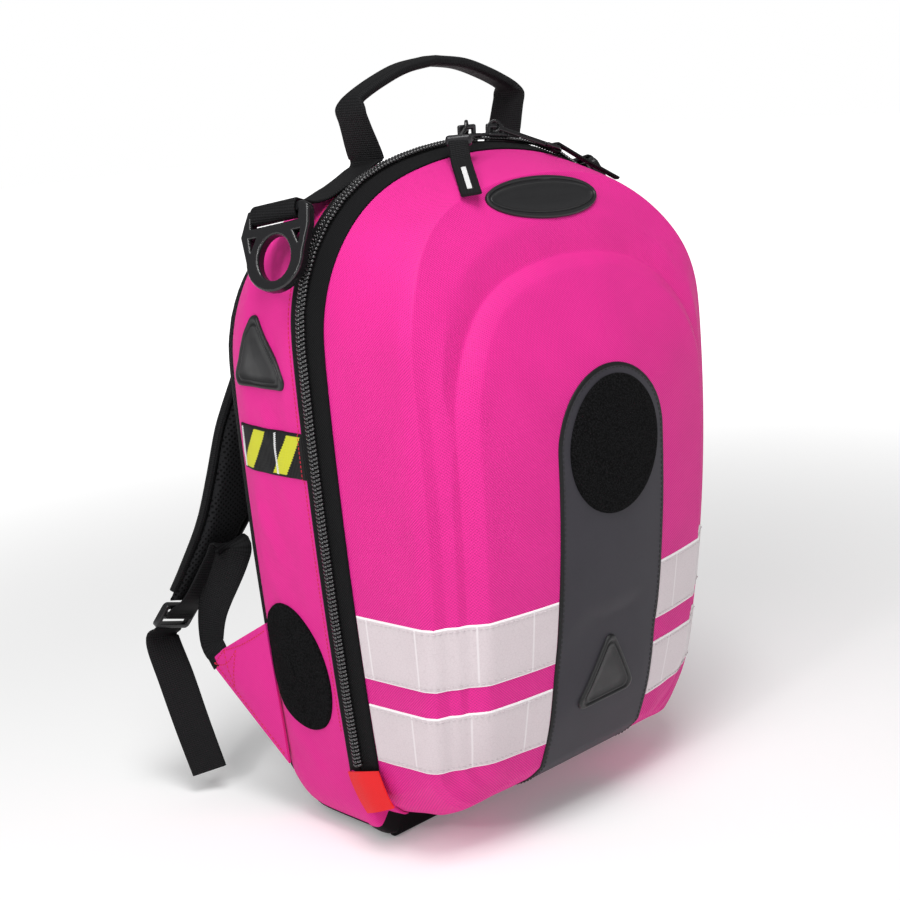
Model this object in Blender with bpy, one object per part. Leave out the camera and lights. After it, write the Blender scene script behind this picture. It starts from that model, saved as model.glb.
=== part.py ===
"""Emergency backpack: a fabric tub, a moulded front lid on a U-shaped zip, and padded shoulder straps.

Metres, +Z up. The front faces -Y and "left" is the -X side. The origin is the middle of the base,
on the surface that the bag stands on. Depths are measured from the zip plane: positive to the back.
"""
from math import acos, asin, atan2, cos, pi, radians, sin, sqrt

import bmesh
import bpy
from mathutils import Matrix, Vector

# Bag outline, seen from the front
BAG_WIDTH = 0.337
BAG_HEIGHT = 0.523
TOP_RADIUS = 0.313
SHOULDER_RADIUS = 0.118
SIDE_RADIUS = 4.1
BASE_CORNER_RADIUS = 0.043

# Tub
WALL = 0.005
BODY_DEPTH = 0.100
BACK_DROP = 0.029
TOP_CURVE = 2.0
BACK_ROUND = 0.007
HEEL_START = 0.080
HEEL_RADIUS = 0.036
BASE_WIDTH = 0.256
LIP_FRONT = 0.002
LIP_THICKNESS = 0.007
BACK_PAD = 0.022
BACK_PAD_ROUND = 0.014
SPINE_WIDTH = 0.060
SPINE_DEPTH = 0.006
STIFFENER = 0.002
STIFFENER_MARGIN = 0.012
DIVIDER = 0.005
DIVIDER_HEIGHTS = {"lower": 0.185, "upper": 0.335}
DIVIDER_DEPTH = 0.066

# Lid
LID_BOTTOM = 0.022
LID_CORNER_RADIUS = 0.045
CORNER_SPREAD = 0.25
SHOULDER_SHARE = 0.17
LEDGE_INSET = 0.036
LEDGE_DEPTH = 0.110
LEDGE_SLOPE = 0.0085
TOP_LEDGE_INSET = 0.080
TOP_LEDGE_DEPTH = 0.0985
TOP_LEDGE_SLOPE = 0.023
LEDGE_ROUND = 0.75
SIDE_DRAFT = 0.009
TOP_DRAFT = 0.019
SIDE_EDGE_RADIUS = 0.013
TOP_EDGE_RADIUS = 0.010
STEP_WIDTH = 0.012
STEP_RISE = 0.012
TOP_STEP_WIDTH = 0.010
TOP_STEP_RISE = 0.0105
CROWN_INSET = 0.128
CROWN_RISE = 0.0135
TOP_CROWN_INSET = 0.170
TOP_CROWN_RISE = 0.027
CHIN_HEIGHT = 0.085
CHIN_DEPTH = 0.112
CHIN_CROWN_INSET = 0.150
CHIN_SHARE = 0.76
CHIN_CROWN_RISE = 0.009
CROWN_MIDDLE = 0.002
BELLY_HEIGHT = 0.330
BELLY_SPAN = 0.250
BELLY_LOSS = 0.23
LID_WALL = 0.005
POCKET_DEPTH = 0.030
POCKET_TOP = 0.280
POCKET_THICKNESS = 0.0015

# Zip
RIM_GAP = 0.0005
SHELL_SETBACK = 0.007
LID_TAPE = 0.019
BODY_TAPE = 0.014
TAPE = 0.001
CHAIN_WIDTH = 0.0043
CHAIN_HEIGHT = 0.0028
END_TAB_HEIGHT = 0.034
END_TAB_THICKNESS = 0.0016
END_TAB_GAP = 0.0008
SLIDER_LENGTH = 0.020
SLIDER_PLATE = 0.0014
SLIDER_PLAY = 0.0005
SLIDER_UNDER = 0.0020
SLIDER_POST_LENGTH = 0.004
SLIDER_POST_WIDTH = 0.0005
BRIDGE_LENGTH = 0.0165
BRIDGE_RISE = 0.0058
BRIDGE_BAR = 0.0022
BRIDGE_BAR_WIDTH = 0.0018
SLIDER_ANGLES = {"left": 1.1, "right": 6.4}
PULL_YAWS = {"left": -141.0, "right": -36.0}
LINK_LENGTH = 0.052
LINK_FALLS = {"left": 0.008, "right": 0.017}
LINK_EYE_RADIUS = 0.0034
LINK_EYE_WALL = 0.0018
LINK_BAR = 0.0030
PULL_TAB_WIDTH = 0.015
# Length and dip of the two stretches of each pull's tab
PULL_TAB_STRETCHES = {"left": ((0.020, 52.0), (0.049, 26.0)), "right": ((0.018, 30.0), (0.036, 28.0))}
PULL_TAB_SLANTS = {"left": 0.26, "right": 0.0}
PULL_TAB_THICKNESS = 0.0022
LINK_FRAME_WALL = 0.0022
LINK_FRAME_LENGTH = 0.010

# Front trim
PANEL_WIDTH = 0.115
PANEL_ARCH_HEIGHT = 0.3075
PANEL_THICKNESS = 0.0012
FRONT_LOOP = (0.095, 0.103)
FRONT_LOOP_HEIGHT = 0.3055
LOOP_THICKNESS = 0.0022
BAND_THICKNESS = 0.0010
BAND_BOTTOMS = {"lower": 0.0815, "upper": 0.1490}
BAND_TOPS = {"lower": 0.1285, "upper": 0.1985}
OVAL_BADGE = (0.111, 0.030)
OVAL_BADGE_TILT = -5.0
OVAL_BADGE_HEIGHT = 0.4835
BADGE_THICKNESS = 0.0025
TRIANGLE_BASE = 0.070
TRIANGLE_HEIGHT = 0.060
TRIANGLE_CORNER = 0.006
FRONT_TRIANGLE_FOOT = 0.101

# Side trim
SIDE_BAND_BOTTOM = 0.297
SIDE_BAND_HEIGHT = 0.035
SIDE_BAND_THICKNESS = 0.0016
SIDE_LOOP = (0.076, 0.104)
SIDE_LOOP_DEPTH = 0.061
SIDE_LOOP_HEIGHT = 0.140
SIDE_LOOP_TILT = 14.0
SIDE_TRIANGLE_DEPTH = 0.060
SIDE_TRIANGLE_GAP = 0.030

# Handle and D-rings
STRAP_WIDTH = 0.038
STRAP_THICKNESS = 0.0022
STRAP_FRONT = 0.0090
HANDLE_FOOT_X = 0.077
FOOT_BEND = 0.005
FOOT_LIFT = 0.0024
STRAP_DIP = 12.0
STRAP_RUN = 0.085
STRAP_LOOP_TURN = 300.0
LEG_TOP_WIDTH = 0.033
LEG_HEIGHT = 0.0385
HANDLE_PIVOT_X = 0.082
HANDLE_RISE = 0.030
GRIP_WIDTH = 0.022
GRIP_THICKNESS = 0.0072
GRIP_KNUCKLE = 0.0042
RING_WIDTH = 0.057
RING_HEIGHT = 0.061
RING_THICKNESS = 0.007
RING_BAR = 0.005
RING_RIM = 0.0058
RING_CORNER = 0.006
RING_WINDOW = 0.013
RING_NOSE = 0.0235
RING_WAIST = 0.015
RING_SLOT = 0.0085
RING_LEAN = 24
RING_TWIST = 20.0
TWIST_START = 0.025
TWIST_END = 0.012
RING_PLAY = 0.0009

# Shoulder straps
PAD_WIDTH = 0.066
PAD_TIP_WIDTH = 0.040
PAD_THICKNESS = 0.013
PAD_TIP_THICKNESS = 0.005
PAD_EDGE = 1.6
PAD_EDGE_MOST = 0.9
WEBBING_WIDTH = 0.030
WEBBING_THICKNESS = 0.0018
WING_THICKNESS = 0.004
LOCK_WIDTH = 0.038
LOCK_LENGTH = 0.024
LOCK_THICKNESS = 0.005
LOCK_BAR = 0.004
LOCK_GAP = 0.0015

# Gap that separate pieces keep where they touch
SEAT = 0.0003

# Facets: stations along each stretch of half the outline, its flat bottom and top arc taking N_ENDS each
N_ENDS = 4
N_CORNER = 5
N_SIDE = 5
N_SHOULDER = 7
HALF_STATIONS = N_ENDS + N_CORNER + N_SIDE + N_SHOULDER + N_ENDS
ZIP_FIRST = N_ENDS + N_CORNER

ZIP_Y = -(LIP_FRONT + HEEL_START) / 2
ARC_CENTRE_Z = BAG_HEIGHT - TOP_RADIUS
MIN_RADIUS = 0.020
SIDES = {"left": -1, "right": 1}


# Scene helpers

def clear_scene():
    for item in list(bpy.data.objects):
        bpy.data.objects.remove(item, do_unlink=True)


def material(name, colour, roughness, metallic=0.0):
    found = bpy.data.materials.get(name)
    if found:
        return found
    made = bpy.data.materials.new(name)
    made.use_nodes = True
    shader = made.node_tree.nodes["Principled BSDF"]
    shader.inputs["Base Color"].default_value = (*colour, 1.0)
    shader.inputs["Roughness"].default_value = roughness
    shader.inputs["Metallic"].default_value = metallic
    return made


def new_object(name, verts, faces, look=None):
    mesh = bpy.data.meshes.new(name)
    mesh.from_pydata([tuple(v) for v in verts], [], faces)
    made = bpy.data.objects.new(name, mesh)
    bpy.context.collection.objects.link(made)
    if look:
        mesh.materials.append(look)
    return made


def finish(item, look, smooth_angle=35.0):
    """Face the mesh outwards, give it its one material and shade its round faces smooth."""
    mesh = item.data
    work = bmesh.new()
    work.from_mesh(mesh)
    bmesh.ops.remove_doubles(work, verts=work.verts, dist=1e-6)
    bmesh.ops.recalc_face_normals(work, faces=work.faces)
    work.to_mesh(mesh)
    work.free()
    mesh.materials.clear()
    mesh.materials.append(look)
    mesh.shade_smooth()
    mesh.set_sharp_from_angle(angle=radians(smooth_angle))
    return item


def apply_modifiers(item):
    graph = bpy.context.evaluated_depsgraph_get()
    mesh = bpy.data.meshes.new_from_object(item.evaluated_get(graph))
    item.modifiers.clear()
    old = item.data
    item.data = mesh
    bpy.data.meshes.remove(old)


def boolean(item, tool, operation):
    """Cut, join or keep what is shared with a tool, which is then removed."""
    step = item.modifiers.new(operation, "BOOLEAN")
    step.object = tool
    step.operation = operation
    step.solver = "EXACT"
    apply_modifiers(item)
    bpy.data.objects.remove(tool, do_unlink=True)
    return item


def thicken(item, thickness, side):
    """Turn a surface into a closed shell: side 1 grows along its normals, -1 against them."""
    step = item.modifiers.new("shell", "SOLIDIFY")
    step.thickness = thickness
    step.offset = side
    step.use_even_offset = True
    apply_modifiers(item)
    return item


def box(low, high):
    (x0, y0, z0), (x1, y1, z1) = low, high
    verts = [(x, y, z) for x in (x0, x1) for y in (y0, y1) for z in (z0, z1)]
    faces = [(0, 1, 3, 2), (4, 6, 7, 5), (0, 4, 5, 1), (2, 3, 7, 6), (0, 2, 6, 4), (1, 5, 7, 3)]
    return new_object("box", verts, faces)


def prism(outline, place, low, high):
    """Extrude a 2D outline between two heights of a frame whose local Z is the extrusion."""
    count = len(outline)
    verts = [place @ Vector((a, b, h)) for h in (low, high) for a, b in outline]
    faces = [tuple(range(count - 1, -1, -1)), tuple(range(count, 2 * count))]
    for i in range(count):
        j = (i + 1) % count
        faces.append((i, j, count + j, count + i))
    made = new_object("prism", verts, faces)
    work = bmesh.new()
    work.from_mesh(made.data)
    bmesh.ops.recalc_face_normals(work, faces=work.faces)
    work.to_mesh(made.data)
    work.free()
    return made


# Frames for prisms: seen from the front (local X, Y = world X, Z) and from the side (world Y, Z)
FRONT = Matrix(((1, 0, 0, 0), (0, 0, 1, 0), (0, 1, 0, 0), (0, 0, 0, 1)))
SIDE = Matrix(((0, 0, 1, 0), (1, 0, 0, 0), (0, 1, 0, 0), (0, 0, 0, 1)))


def ellipse(centre, size, tilt=0.0, count=32):
    turn = radians(tilt)
    points = []
    for i in range(count):
        angle = 2 * pi * i / count
        a = size[0] / 2 * cos(angle)
        b = size[1] / 2 * sin(angle)
        points.append((centre[0] + a * cos(turn) - b * sin(turn), centre[1] + a * sin(turn) + b * cos(turn)))
    return points


def rounded(corners, radius, steps=4):
    """A polygon whose corners are replaced by arcs."""
    points = []
    count = len(corners)
    for i in range(count):
        here = Vector(corners[i])
        before = (Vector(corners[i - 1]) - here).normalized()
        after = (Vector(corners[(i + 1) % count]) - here).normalized()
        half = acos(max(-1.0, min(1.0, before.dot(after)))) / 2
        centre = here + (before + after).normalized() * (radius / sin(half))
        start = here + before * (radius * cos(half) / sin(half)) - centre
        end = here + after * (radius * cos(half) / sin(half)) - centre
        first = atan2(start.y, start.x)
        sweep = (atan2(end.y, end.x) - first + pi) % (2 * pi) - pi
        for k in range(steps + 1):
            angle = first + sweep * k / steps
            points.append((centre.x + radius * cos(angle), centre.y + radius * sin(angle)))
    return points


def smooth_step(value):
    value = max(0.0, min(1.0, value))
    return value * value * (3 - 2 * value)


def mix(a, b, t):
    return a + (b - a) * t


# Outline of the bag: an arch of tangent arcs over a flat bottom

def arch(half_width, top, bottom, top_radius, shoulder_radius, side_radius, corner_radius):
    """Closed loop of (x, z, angle of the normal from straight up), from the bottom's middle leftwards."""
    break_angle = asin((half_width - shoulder_radius) / (top_radius - shoulder_radius))
    shoulder_x = half_width - shoulder_radius
    shoulder_z = top - top_radius + (top_radius - shoulder_radius) * cos(break_angle)
    side_x = half_width - side_radius
    reach = side_radius - corner_radius
    fall = shoulder_z - bottom - corner_radius
    corner_x = side_x + sqrt(reach * reach - fall * fall)
    corner_angle = asin(fall / reach)

    half = [(corner_x * i / N_ENDS, bottom, pi) for i in range(N_ENDS)]
    for i in range(N_CORNER + 1):
        dip = mix(pi / 2, corner_angle, i / N_CORNER)
        half.append((corner_x + corner_radius * cos(dip), bottom + corner_radius * (1 - sin(dip)), pi / 2 + dip))
    for i in range(1, N_SIDE + 1):
        dip = mix(corner_angle, 0.0, i / N_SIDE)
        half.append((side_x + side_radius * cos(dip), shoulder_z - side_radius * sin(dip), pi / 2 + dip))
    for i in range(1, N_SHOULDER + 1):
        angle = mix(pi / 2, break_angle, i / N_SHOULDER)
        half.append((shoulder_x + shoulder_radius * sin(angle), shoulder_z + shoulder_radius * cos(angle), angle))
    for i in range(1, N_ENDS + 1):
        angle = mix(break_angle, 0.0, i / N_ENDS)
        half.append((top_radius * sin(angle), top - top_radius * (1 - cos(angle)), angle))

    left = [(-x, z, angle) for x, z, angle in half]
    right = [half[i] for i in range(HALF_STATIONS - 1, 0, -1)]
    return left + right


def rim(offset, bottom=LID_BOTTOM, corner=LID_CORNER_RADIUS):
    """The zip's own arch, moved outwards by an offset."""
    return arch(
        BAG_WIDTH / 2 + offset, BAG_HEIGHT + offset, bottom - offset,
        TOP_RADIUS + offset, SHOULDER_RADIUS + offset, SIDE_RADIUS + offset, corner + offset,
    )


# Lid surface: three sections, at the sides, top and chin, lofted round the arch

def moulded_section(draft, edge, ledge_inset, ledge_depth, slope, step_width, step_rise, crown_inset, crown_rise):
    """(inset, depth) points from the rim over the drafted wall, rounded ledge and step to the crown."""
    wall = ledge_depth - slope - edge
    top = ledge_depth + step_rise
    shelf = ledge_inset + step_width
    return [
        (0.0, RIM_GAP),
        (draft * SHELL_SETBACK / wall, SHELL_SETBACK),
        (draft * LID_TAPE / wall, LID_TAPE),
        (draft * 0.58, wall * 0.62),
        (draft, wall),
        (draft + edge * 0.3, wall + edge * 0.7),
        (draft + edge, wall + edge),
        (mix(draft + edge, ledge_inset, 0.5), ledge_depth - slope * (1 - LEDGE_ROUND)),
        (ledge_inset, ledge_depth),
        (mix(ledge_inset, shelf, 0.5), mix(ledge_depth, top, 0.6)),
        (shelf, top),
        (mix(shelf, crown_inset, 0.5), top + crown_rise * 0.65),
        (crown_inset, top + crown_rise),
    ]


def chin_section(side):
    """(inset, depth) points of the lid's underside: a quarter ellipse that runs on into the crown.

    It has no ledge, so each point lies where the ellipse reaches a share of the side section's depth.
    """
    depths = [depth if row < 3 else depth * CHIN_SHARE for row, (inset, depth) in enumerate(side[:-2])]
    angles = [asin(depth / CHIN_DEPTH) for depth in depths] + [pi / 2]
    points = [(CHIN_HEIGHT * (1 - cos(a)), CHIN_DEPTH * sin(a)) for a in angles]
    points.append((CHIN_CROWN_INSET, CHIN_DEPTH + CHIN_CROWN_RISE))
    return points


def belly(height):
    return 1.0 - BELLY_LOSS * ((height - BELLY_HEIGHT) / BELLY_SPAN) ** 2


def lid_rings():
    side = moulded_section(
        SIDE_DRAFT, SIDE_EDGE_RADIUS, LEDGE_INSET, LEDGE_DEPTH, LEDGE_SLOPE,
        STEP_WIDTH, STEP_RISE, CROWN_INSET, CROWN_RISE,
    )
    top = moulded_section(
        TOP_DRAFT, TOP_EDGE_RADIUS, TOP_LEDGE_INSET, TOP_LEDGE_DEPTH, TOP_LEDGE_SLOPE,
        TOP_STEP_WIDTH, TOP_STEP_RISE, TOP_CROWN_INSET, TOP_CROWN_RISE,
    )
    chin = chin_section(side)
    rings = []
    for row, (at_side, at_top, at_chin) in enumerate(zip(side, top, chin)):
        half_width = BAG_WIDTH / 2 - at_side[0]
        outline = arch(
            half_width, BAG_HEIGHT - at_top[0], LID_BOTTOM + at_chin[0],
            TOP_RADIUS - at_top[0],
            max(min(SHOULDER_RADIUS - (at_side[0] + at_top[0]) * SHOULDER_SHARE, half_width * 0.85), MIN_RADIUS),
            SIDE_RADIUS,
            min(LID_CORNER_RADIUS + at_side[0] * CORNER_SPREAD, half_width / 2),
        )
        ring = []
        for x, z, angle in outline:
            over = smooth_step((radians(75) - angle) / radians(60))
            under = smooth_step((angle - radians(105)) / radians(65))
            swell = belly(z) if row > 2 else 1.0
            depth = over * at_top[1] + under * at_chin[1] + (1 - over - under) * at_side[1] * swell
            ring.append(Vector((x, ZIP_Y - depth, z)))
        rings.append(ring)
    return rings


def ladder(ring, bump):
    """Rows across a ring, from its flat bottom edge to its top arc, bulged in the middle by a vector."""
    count = len(ring)
    columns = 2 * N_ENDS
    first = [ring[(N_ENDS - k) % count] for k in range(columns + 1)]
    last = [ring[HALF_STATIONS - N_ENDS + k] for k in range(columns + 1)]
    rows = [first]
    for i in range(N_ENDS + 1, HALF_STATIONS - N_ENDS):
        up = (i - N_ENDS) / (HALF_STATIONS - 2 * N_ENDS)
        row = []
        for k in range(columns + 1):
            across = k / columns
            swell = bump * (sin(pi * up) * sin(pi * across))
            row.append(ring[i].lerp(ring[count - i], across) + swell)
        rows.append(row)
    rows.append(last)
    return rows


def surface(rings, bump=None, stations=None):
    """Loft rings into an open surface, with its middle closed by a ladder when a bump is given."""
    count = len(rings[0])
    verts = []
    faces = []
    for ring in rings:
        verts.extend(ring)
    span = range(count) if stations is None else stations
    pairs = list(zip(span, list(span)[1:]))
    if stations is None:
        pairs.append((count - 1, 0))
    for r in range(len(rings) - 1):
        for a, b in pairs:
            faces.append((r * count + a, r * count + b, (r + 1) * count + b, (r + 1) * count + a))
    if bump is not None:
        rows = ladder(rings[-1], bump)
        index = []
        for row in rows:
            index.append(list(range(len(verts), len(verts) + len(row))))
            verts.extend(row)
        for low, high in zip(index, index[1:]):
            for k in range(len(low) - 1):
                faces.append((low[k], low[k + 1], high[k + 1], high[k]))
    made = new_object("surface", verts, faces)
    work = bmesh.new()
    work.from_mesh(made.data)
    bmesh.ops.remove_doubles(work, verts=work.verts, dist=1e-6)
    loose = [v for v in work.verts if not v.link_faces]
    bmesh.ops.delete(work, geom=loose, context="VERTS")
    bmesh.ops.recalc_face_normals(work, faces=work.faces)
    bmesh.ops.triangulate(work, faces=work.faces, quad_method="FIXED")
    work.to_mesh(made.data)
    work.free()
    return made


def face_outwards(item, inside):
    """Turn an open surface so that most of it faces away from an inside point."""
    total = 0.0
    for polygon in item.data.polygons:
        total += polygon.normal.dot(polygon.center - inside) * polygon.area
    if total < 0:
        item.data.flip_normals()
    return item


def shift_out(item, gap):
    normals = [v.normal.copy() for v in item.data.vertices]
    for vertex, normal in zip(item.data.vertices, normals):
        vertex.co += normal * gap
    return item


LID_INSIDE = Vector((0, ZIP_Y - 0.02, BAG_HEIGHT / 2))
TUB_INSIDE = Vector((0, ZIP_Y + BODY_DEPTH / 2, BAG_HEIGHT / 2))


def lid_surface(first=0):
    made = surface(lid_rings()[first:], bump=Vector((0, -CROWN_MIDDLE, 0)))
    return face_outwards(made, LID_INSIDE)


# Tub surface: the arch swept backwards, with its top falling and its heel and back edge rounded

def tub_outline(depth, inset=0.0, bottom=0.0, corner=BASE_CORNER_RADIUS):
    along = max(depth, 0.0) / BODY_DEPTH
    round_start = BODY_DEPTH - 4 * BACK_ROUND
    draw_in = BACK_ROUND * max(0.0, (depth - round_start) / (4 * BACK_ROUND)) ** 2 + inset
    fall = BACK_DROP * along ** TOP_CURVE + inset
    into_heel = max(0.0, depth - HEEL_START)
    lift = HEEL_RADIUS - sqrt(HEEL_RADIUS ** 2 - into_heel ** 2) + inset
    shoulder = SHOULDER_RADIUS - inset
    points = arch(
        BAG_WIDTH / 2 - draw_in, BAG_HEIGHT - fall, bottom + lift,
        TOP_RADIUS - draw_in, shoulder, SIDE_RADIUS, max(corner - inset, MIN_RADIUS),
    )
    return [Vector((x, ZIP_Y + depth, z)) for x, z, angle in points]


def tub_depths():
    round_start = BODY_DEPTH - 4 * BACK_ROUND
    middle = mix(BODY_TAPE, round_start, 0.5)
    return [
        RIM_GAP, SHELL_SETBACK, BODY_TAPE, middle, round_start,
        mix(round_start, BODY_DEPTH, 0.5), BODY_DEPTH,
    ]


def tub_surface(first=0):
    made = surface([tub_outline(d) for d in tub_depths()[first:]])
    return face_outwards(made, TUB_INSIDE)


# Fabric and trim looks

PINK = material("pink fabric", (0.83, 0.035, 0.32), 0.85)
BLACK_FABRIC = material("black fabric", (0.012, 0.012, 0.013), 0.9)
GREY_COATED = material("grey coated fabric", (0.045, 0.043, 0.052), 0.6)
BLACK_PLASTIC = material("black plastic", (0.015, 0.015, 0.016), 0.45)
BLACK_METAL = material("black zip metal", (0.02, 0.02, 0.022), 0.4, 0.6)
RUBBER = material("black rubber", (0.02, 0.02, 0.022), 0.6)
REFLECTIVE = material("reflective tape", (0.80, 0.76, 0.78), 0.3)
RED = material("red fabric", (0.85, 0.03, 0.03), 0.8)
HIVIS = material("striped webbing", (0.55, 0.60, 0.03), 0.8)
BOARD = material("grey board", (0.12, 0.12, 0.12), 0.7)
MESH = material("black mesh", (0.015, 0.015, 0.016), 0.95)

NODES = {}


def keep(item, name, look, smooth_angle=35.0):
    item.name = name
    item.data.name = name
    finish(item, look, smooth_angle)
    NODES[name] = item
    return item


# Tub pieces

def base_cutter(margin):
    half = BASE_WIDTH / 2 + margin
    return box((-half, ZIP_Y - 0.01, -0.02), (half, ZIP_Y + BODY_DEPTH + 0.02, LID_BOTTOM + margin))


def make_tub():
    gusset = thicken(tub_surface(first=1), WALL, -1)
    boolean(gusset, base_cutter(SEAT), "DIFFERENCE")
    keep(gusset, "gusset", PINK)

    base = thicken(tub_surface(first=1), WALL, -1)
    boolean(base, base_cutter(0.0), "INTERSECT")
    half = BASE_WIDTH / 2
    lip = box(
        (-half, ZIP_Y + LIP_FRONT, 0.0),
        (half, ZIP_Y + LIP_FRONT + LIP_THICKNESS, LID_BOTTOM - 2 * SEAT),
    )
    boolean(base, lip, "UNION")
    keep(base, "base_panel", GREY_COATED)

    stiffener_outline = tub_outline(BODY_DEPTH, WALL + STIFFENER_MARGIN)
    plate = prism(
        [(p.x, p.z) for p in stiffener_outline], FRONT,
        ZIP_Y + BODY_DEPTH - STIFFENER, ZIP_Y + BODY_DEPTH,
    )
    keep(plate, "back_stiffener", BOARD)

    for name, height in DIVIDER_HEIGHTS.items():
        inner = min(p.x for p in tub_outline(BODY_TAPE) if abs(p.z - height) < 0.06)
        half = -inner - WALL - SEAT - 0.002
        shelf_front = ZIP_Y + BODY_TAPE
        shelf = box((-half, shelf_front, height), (half, shelf_front + DIVIDER_DEPTH, height + DIVIDER))
        keep(shelf, f"divider_{name}", GREY_COATED)


def make_back_pad():
    """Mesh-covered pad over the back: drawn-in rounded edges and a shallow channel down the spine."""
    front = BODY_DEPTH + SEAT
    rise = [(0.0, 0.0), (0.0, 0.3), (0.22, 0.72), (0.55, 0.92), (1.0, 1.0)]
    rings = []
    for inset, height in rise:
        outline = tub_outline(BODY_DEPTH, inset * BACK_PAD_ROUND)
        depth = front + BACK_PAD * height
        rings.append([Vector((p.x, ZIP_Y + depth, p.z)) for p in outline])
    back = surface(rings, bump=Vector((0, 0, 0)))
    cover = surface(rings[:1], bump=Vector((0, 0, 0)))
    work = bmesh.new()
    work.from_mesh(back.data)
    work.from_mesh(cover.data)
    bmesh.ops.remove_doubles(work, verts=work.verts, dist=1e-6)
    bmesh.ops.recalc_face_normals(work, faces=work.faces)
    work.to_mesh(back.data)
    work.free()
    bpy.data.objects.remove(cover, do_unlink=True)

    deepest = ZIP_Y + front + BACK_PAD
    radius = ((SPINE_WIDTH / 2) ** 2 + SPINE_DEPTH ** 2) / (2 * SPINE_DEPTH)
    half_angle = asin(SPINE_WIDTH / 2 / radius)
    groove = [(SPINE_WIDTH / 2, deepest + BACK_PAD), (-SPINE_WIDTH / 2, deepest + BACK_PAD)]
    for i in range(9):
        angle = mix(-half_angle, half_angle, i / 8)
        groove.append((radius * sin(angle), deepest - SPINE_DEPTH + radius * (1 - cos(angle))))
    level = Matrix.Identity(4)
    margin = 4 * BACK_PAD_ROUND
    cutter = prism(groove, level, HEEL_RADIUS + margin, BAG_HEIGHT - BACK_DROP - margin)
    boolean(back, cutter, "DIFFERENCE")
    keep(back, "back_panel", MESH)


# Lid pieces

def make_lid():
    shell = thicken(lid_surface(first=1), LID_WALL, -1)
    keep(shell, "lid_shell", PINK)

    drawn_in = SIDE_DRAFT + LID_WALL
    outline = arch(
        BAG_WIDTH / 2 - drawn_in, BAG_HEIGHT - drawn_in, LID_BOTTOM + drawn_in,
        TOP_RADIUS - drawn_in, SHOULDER_RADIUS - drawn_in, SIDE_RADIUS, LID_CORNER_RADIUS - drawn_in / 2,
    )
    near = ZIP_Y - POCKET_DEPTH
    pocket = prism([(x, z) for x, z, angle in outline], FRONT, near, near + POCKET_THICKNESS)
    boolean(pocket, box((-1, -1, -1), (1, 1, POCKET_TOP)), "INTERSECT")
    keep(pocket, "lid_pocket", MESH)


def lid_skin(name, look, gap, thickness, cutters):
    """A layer that follows the lid's outside, kept within each cutter in turn."""
    layer = thicken(shift_out(lid_surface(), gap), thickness, 1)
    for cutter in cutters:
        boolean(layer, cutter, "INTERSECT")
    return keep(layer, name, look)


def front_prism(outline):
    return prism(outline, FRONT, ZIP_Y - 0.25, ZIP_Y - LID_TAPE)


def triangle(middle, foot):
    half = TRIANGLE_BASE / 2
    corners = [(middle - half, foot), (middle + half, foot), (middle, foot + TRIANGLE_HEIGHT)]
    return rounded(corners, TRIANGLE_CORNER)


def make_lid_trim():
    half = PANEL_WIDTH / 2
    panel = [(-half, 0.0), (half, 0.0)]
    for i in range(17):
        angle = pi * i / 16
        panel.append((half * cos(angle), PANEL_ARCH_HEIGHT + half * sin(angle)))
    lid_skin("centre_panel", GREY_COATED, SEAT, PANEL_THICKNESS, [front_prism(panel)])

    on_panel = PANEL_THICKNESS + 2 * SEAT
    loop = ellipse((0, FRONT_LOOP_HEIGHT), FRONT_LOOP)
    lid_skin("front_loop_patch", BLACK_FABRIC, on_panel, LOOP_THICKNESS, [front_prism(loop)])
    badge = triangle(0.0, FRONT_TRIANGLE_FOOT)
    lid_skin("front_badge", RUBBER, on_panel, BADGE_THICKNESS, [front_prism(badge)])
    oval = ellipse((0, OVAL_BADGE_HEIGHT), OVAL_BADGE, OVAL_BADGE_TILT, count=36)
    lid_skin("oval_badge", RUBBER, SEAT, BADGE_THICKNESS, [front_prism(oval)])

    edge = half + SEAT
    for row in ("upper", "lower"):
        for name, side in SIDES.items():
            ends = sorted((side * edge, side * BAG_WIDTH))
            stretch = box(
                (ends[0], ZIP_Y - 0.25, BAND_BOTTOMS[row]),
                (ends[1], ZIP_Y - LID_TAPE - SEAT, BAND_TOPS[row]),
            )
            lid_skin(f"reflective_{row}_{name}", REFLECTIVE, SEAT, BAND_THICKNESS, [stretch])


# Side trim on the tub

def tub_skin(name, look, thickness, cutters):
    layer = thicken(shift_out(tub_surface(), SEAT), thickness, 1)
    for cutter in cutters:
        boolean(layer, cutter, "INTERSECT")
    return keep(layer, name, look)


def side_prism(outline, side):
    near, far = sorted((side * BAG_WIDTH / 4, side * BAG_WIDTH))
    return prism([(ZIP_Y + a, b) for a, b in outline], SIDE, near, far)


def make_side_trim():
    for name, side in SIDES.items():
        back = BODY_DEPTH - BACK_ROUND
        band = [
            (BODY_TAPE + SEAT, SIDE_BAND_BOTTOM), (back, SIDE_BAND_BOTTOM),
            (back, SIDE_BAND_BOTTOM + SIDE_BAND_HEIGHT), (BODY_TAPE + SEAT, SIDE_BAND_BOTTOM + SIDE_BAND_HEIGHT),
        ]
        tub_skin(f"side_webbing_{name}", HIVIS, SIDE_BAND_THICKNESS, [side_prism(band, side)])
        loop = ellipse((SIDE_LOOP_DEPTH, SIDE_LOOP_HEIGHT), SIDE_LOOP, -SIDE_LOOP_TILT)
        tub_skin(f"side_loop_patch_{name}", BLACK_FABRIC, LOOP_THICKNESS, [side_prism(loop, side)])
    badge = triangle(SIDE_TRIANGLE_DEPTH, SIDE_BAND_BOTTOM + SIDE_BAND_HEIGHT + SIDE_TRIANGLE_GAP)
    tub_skin("side_badge", RUBBER, BADGE_THICKNESS, [side_prism(badge, SIDES["left"])])


# Zip

def zip_stations():
    return list(range(ZIP_FIRST, 2 * HALF_STATIONS - ZIP_FIRST + 1))


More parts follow.
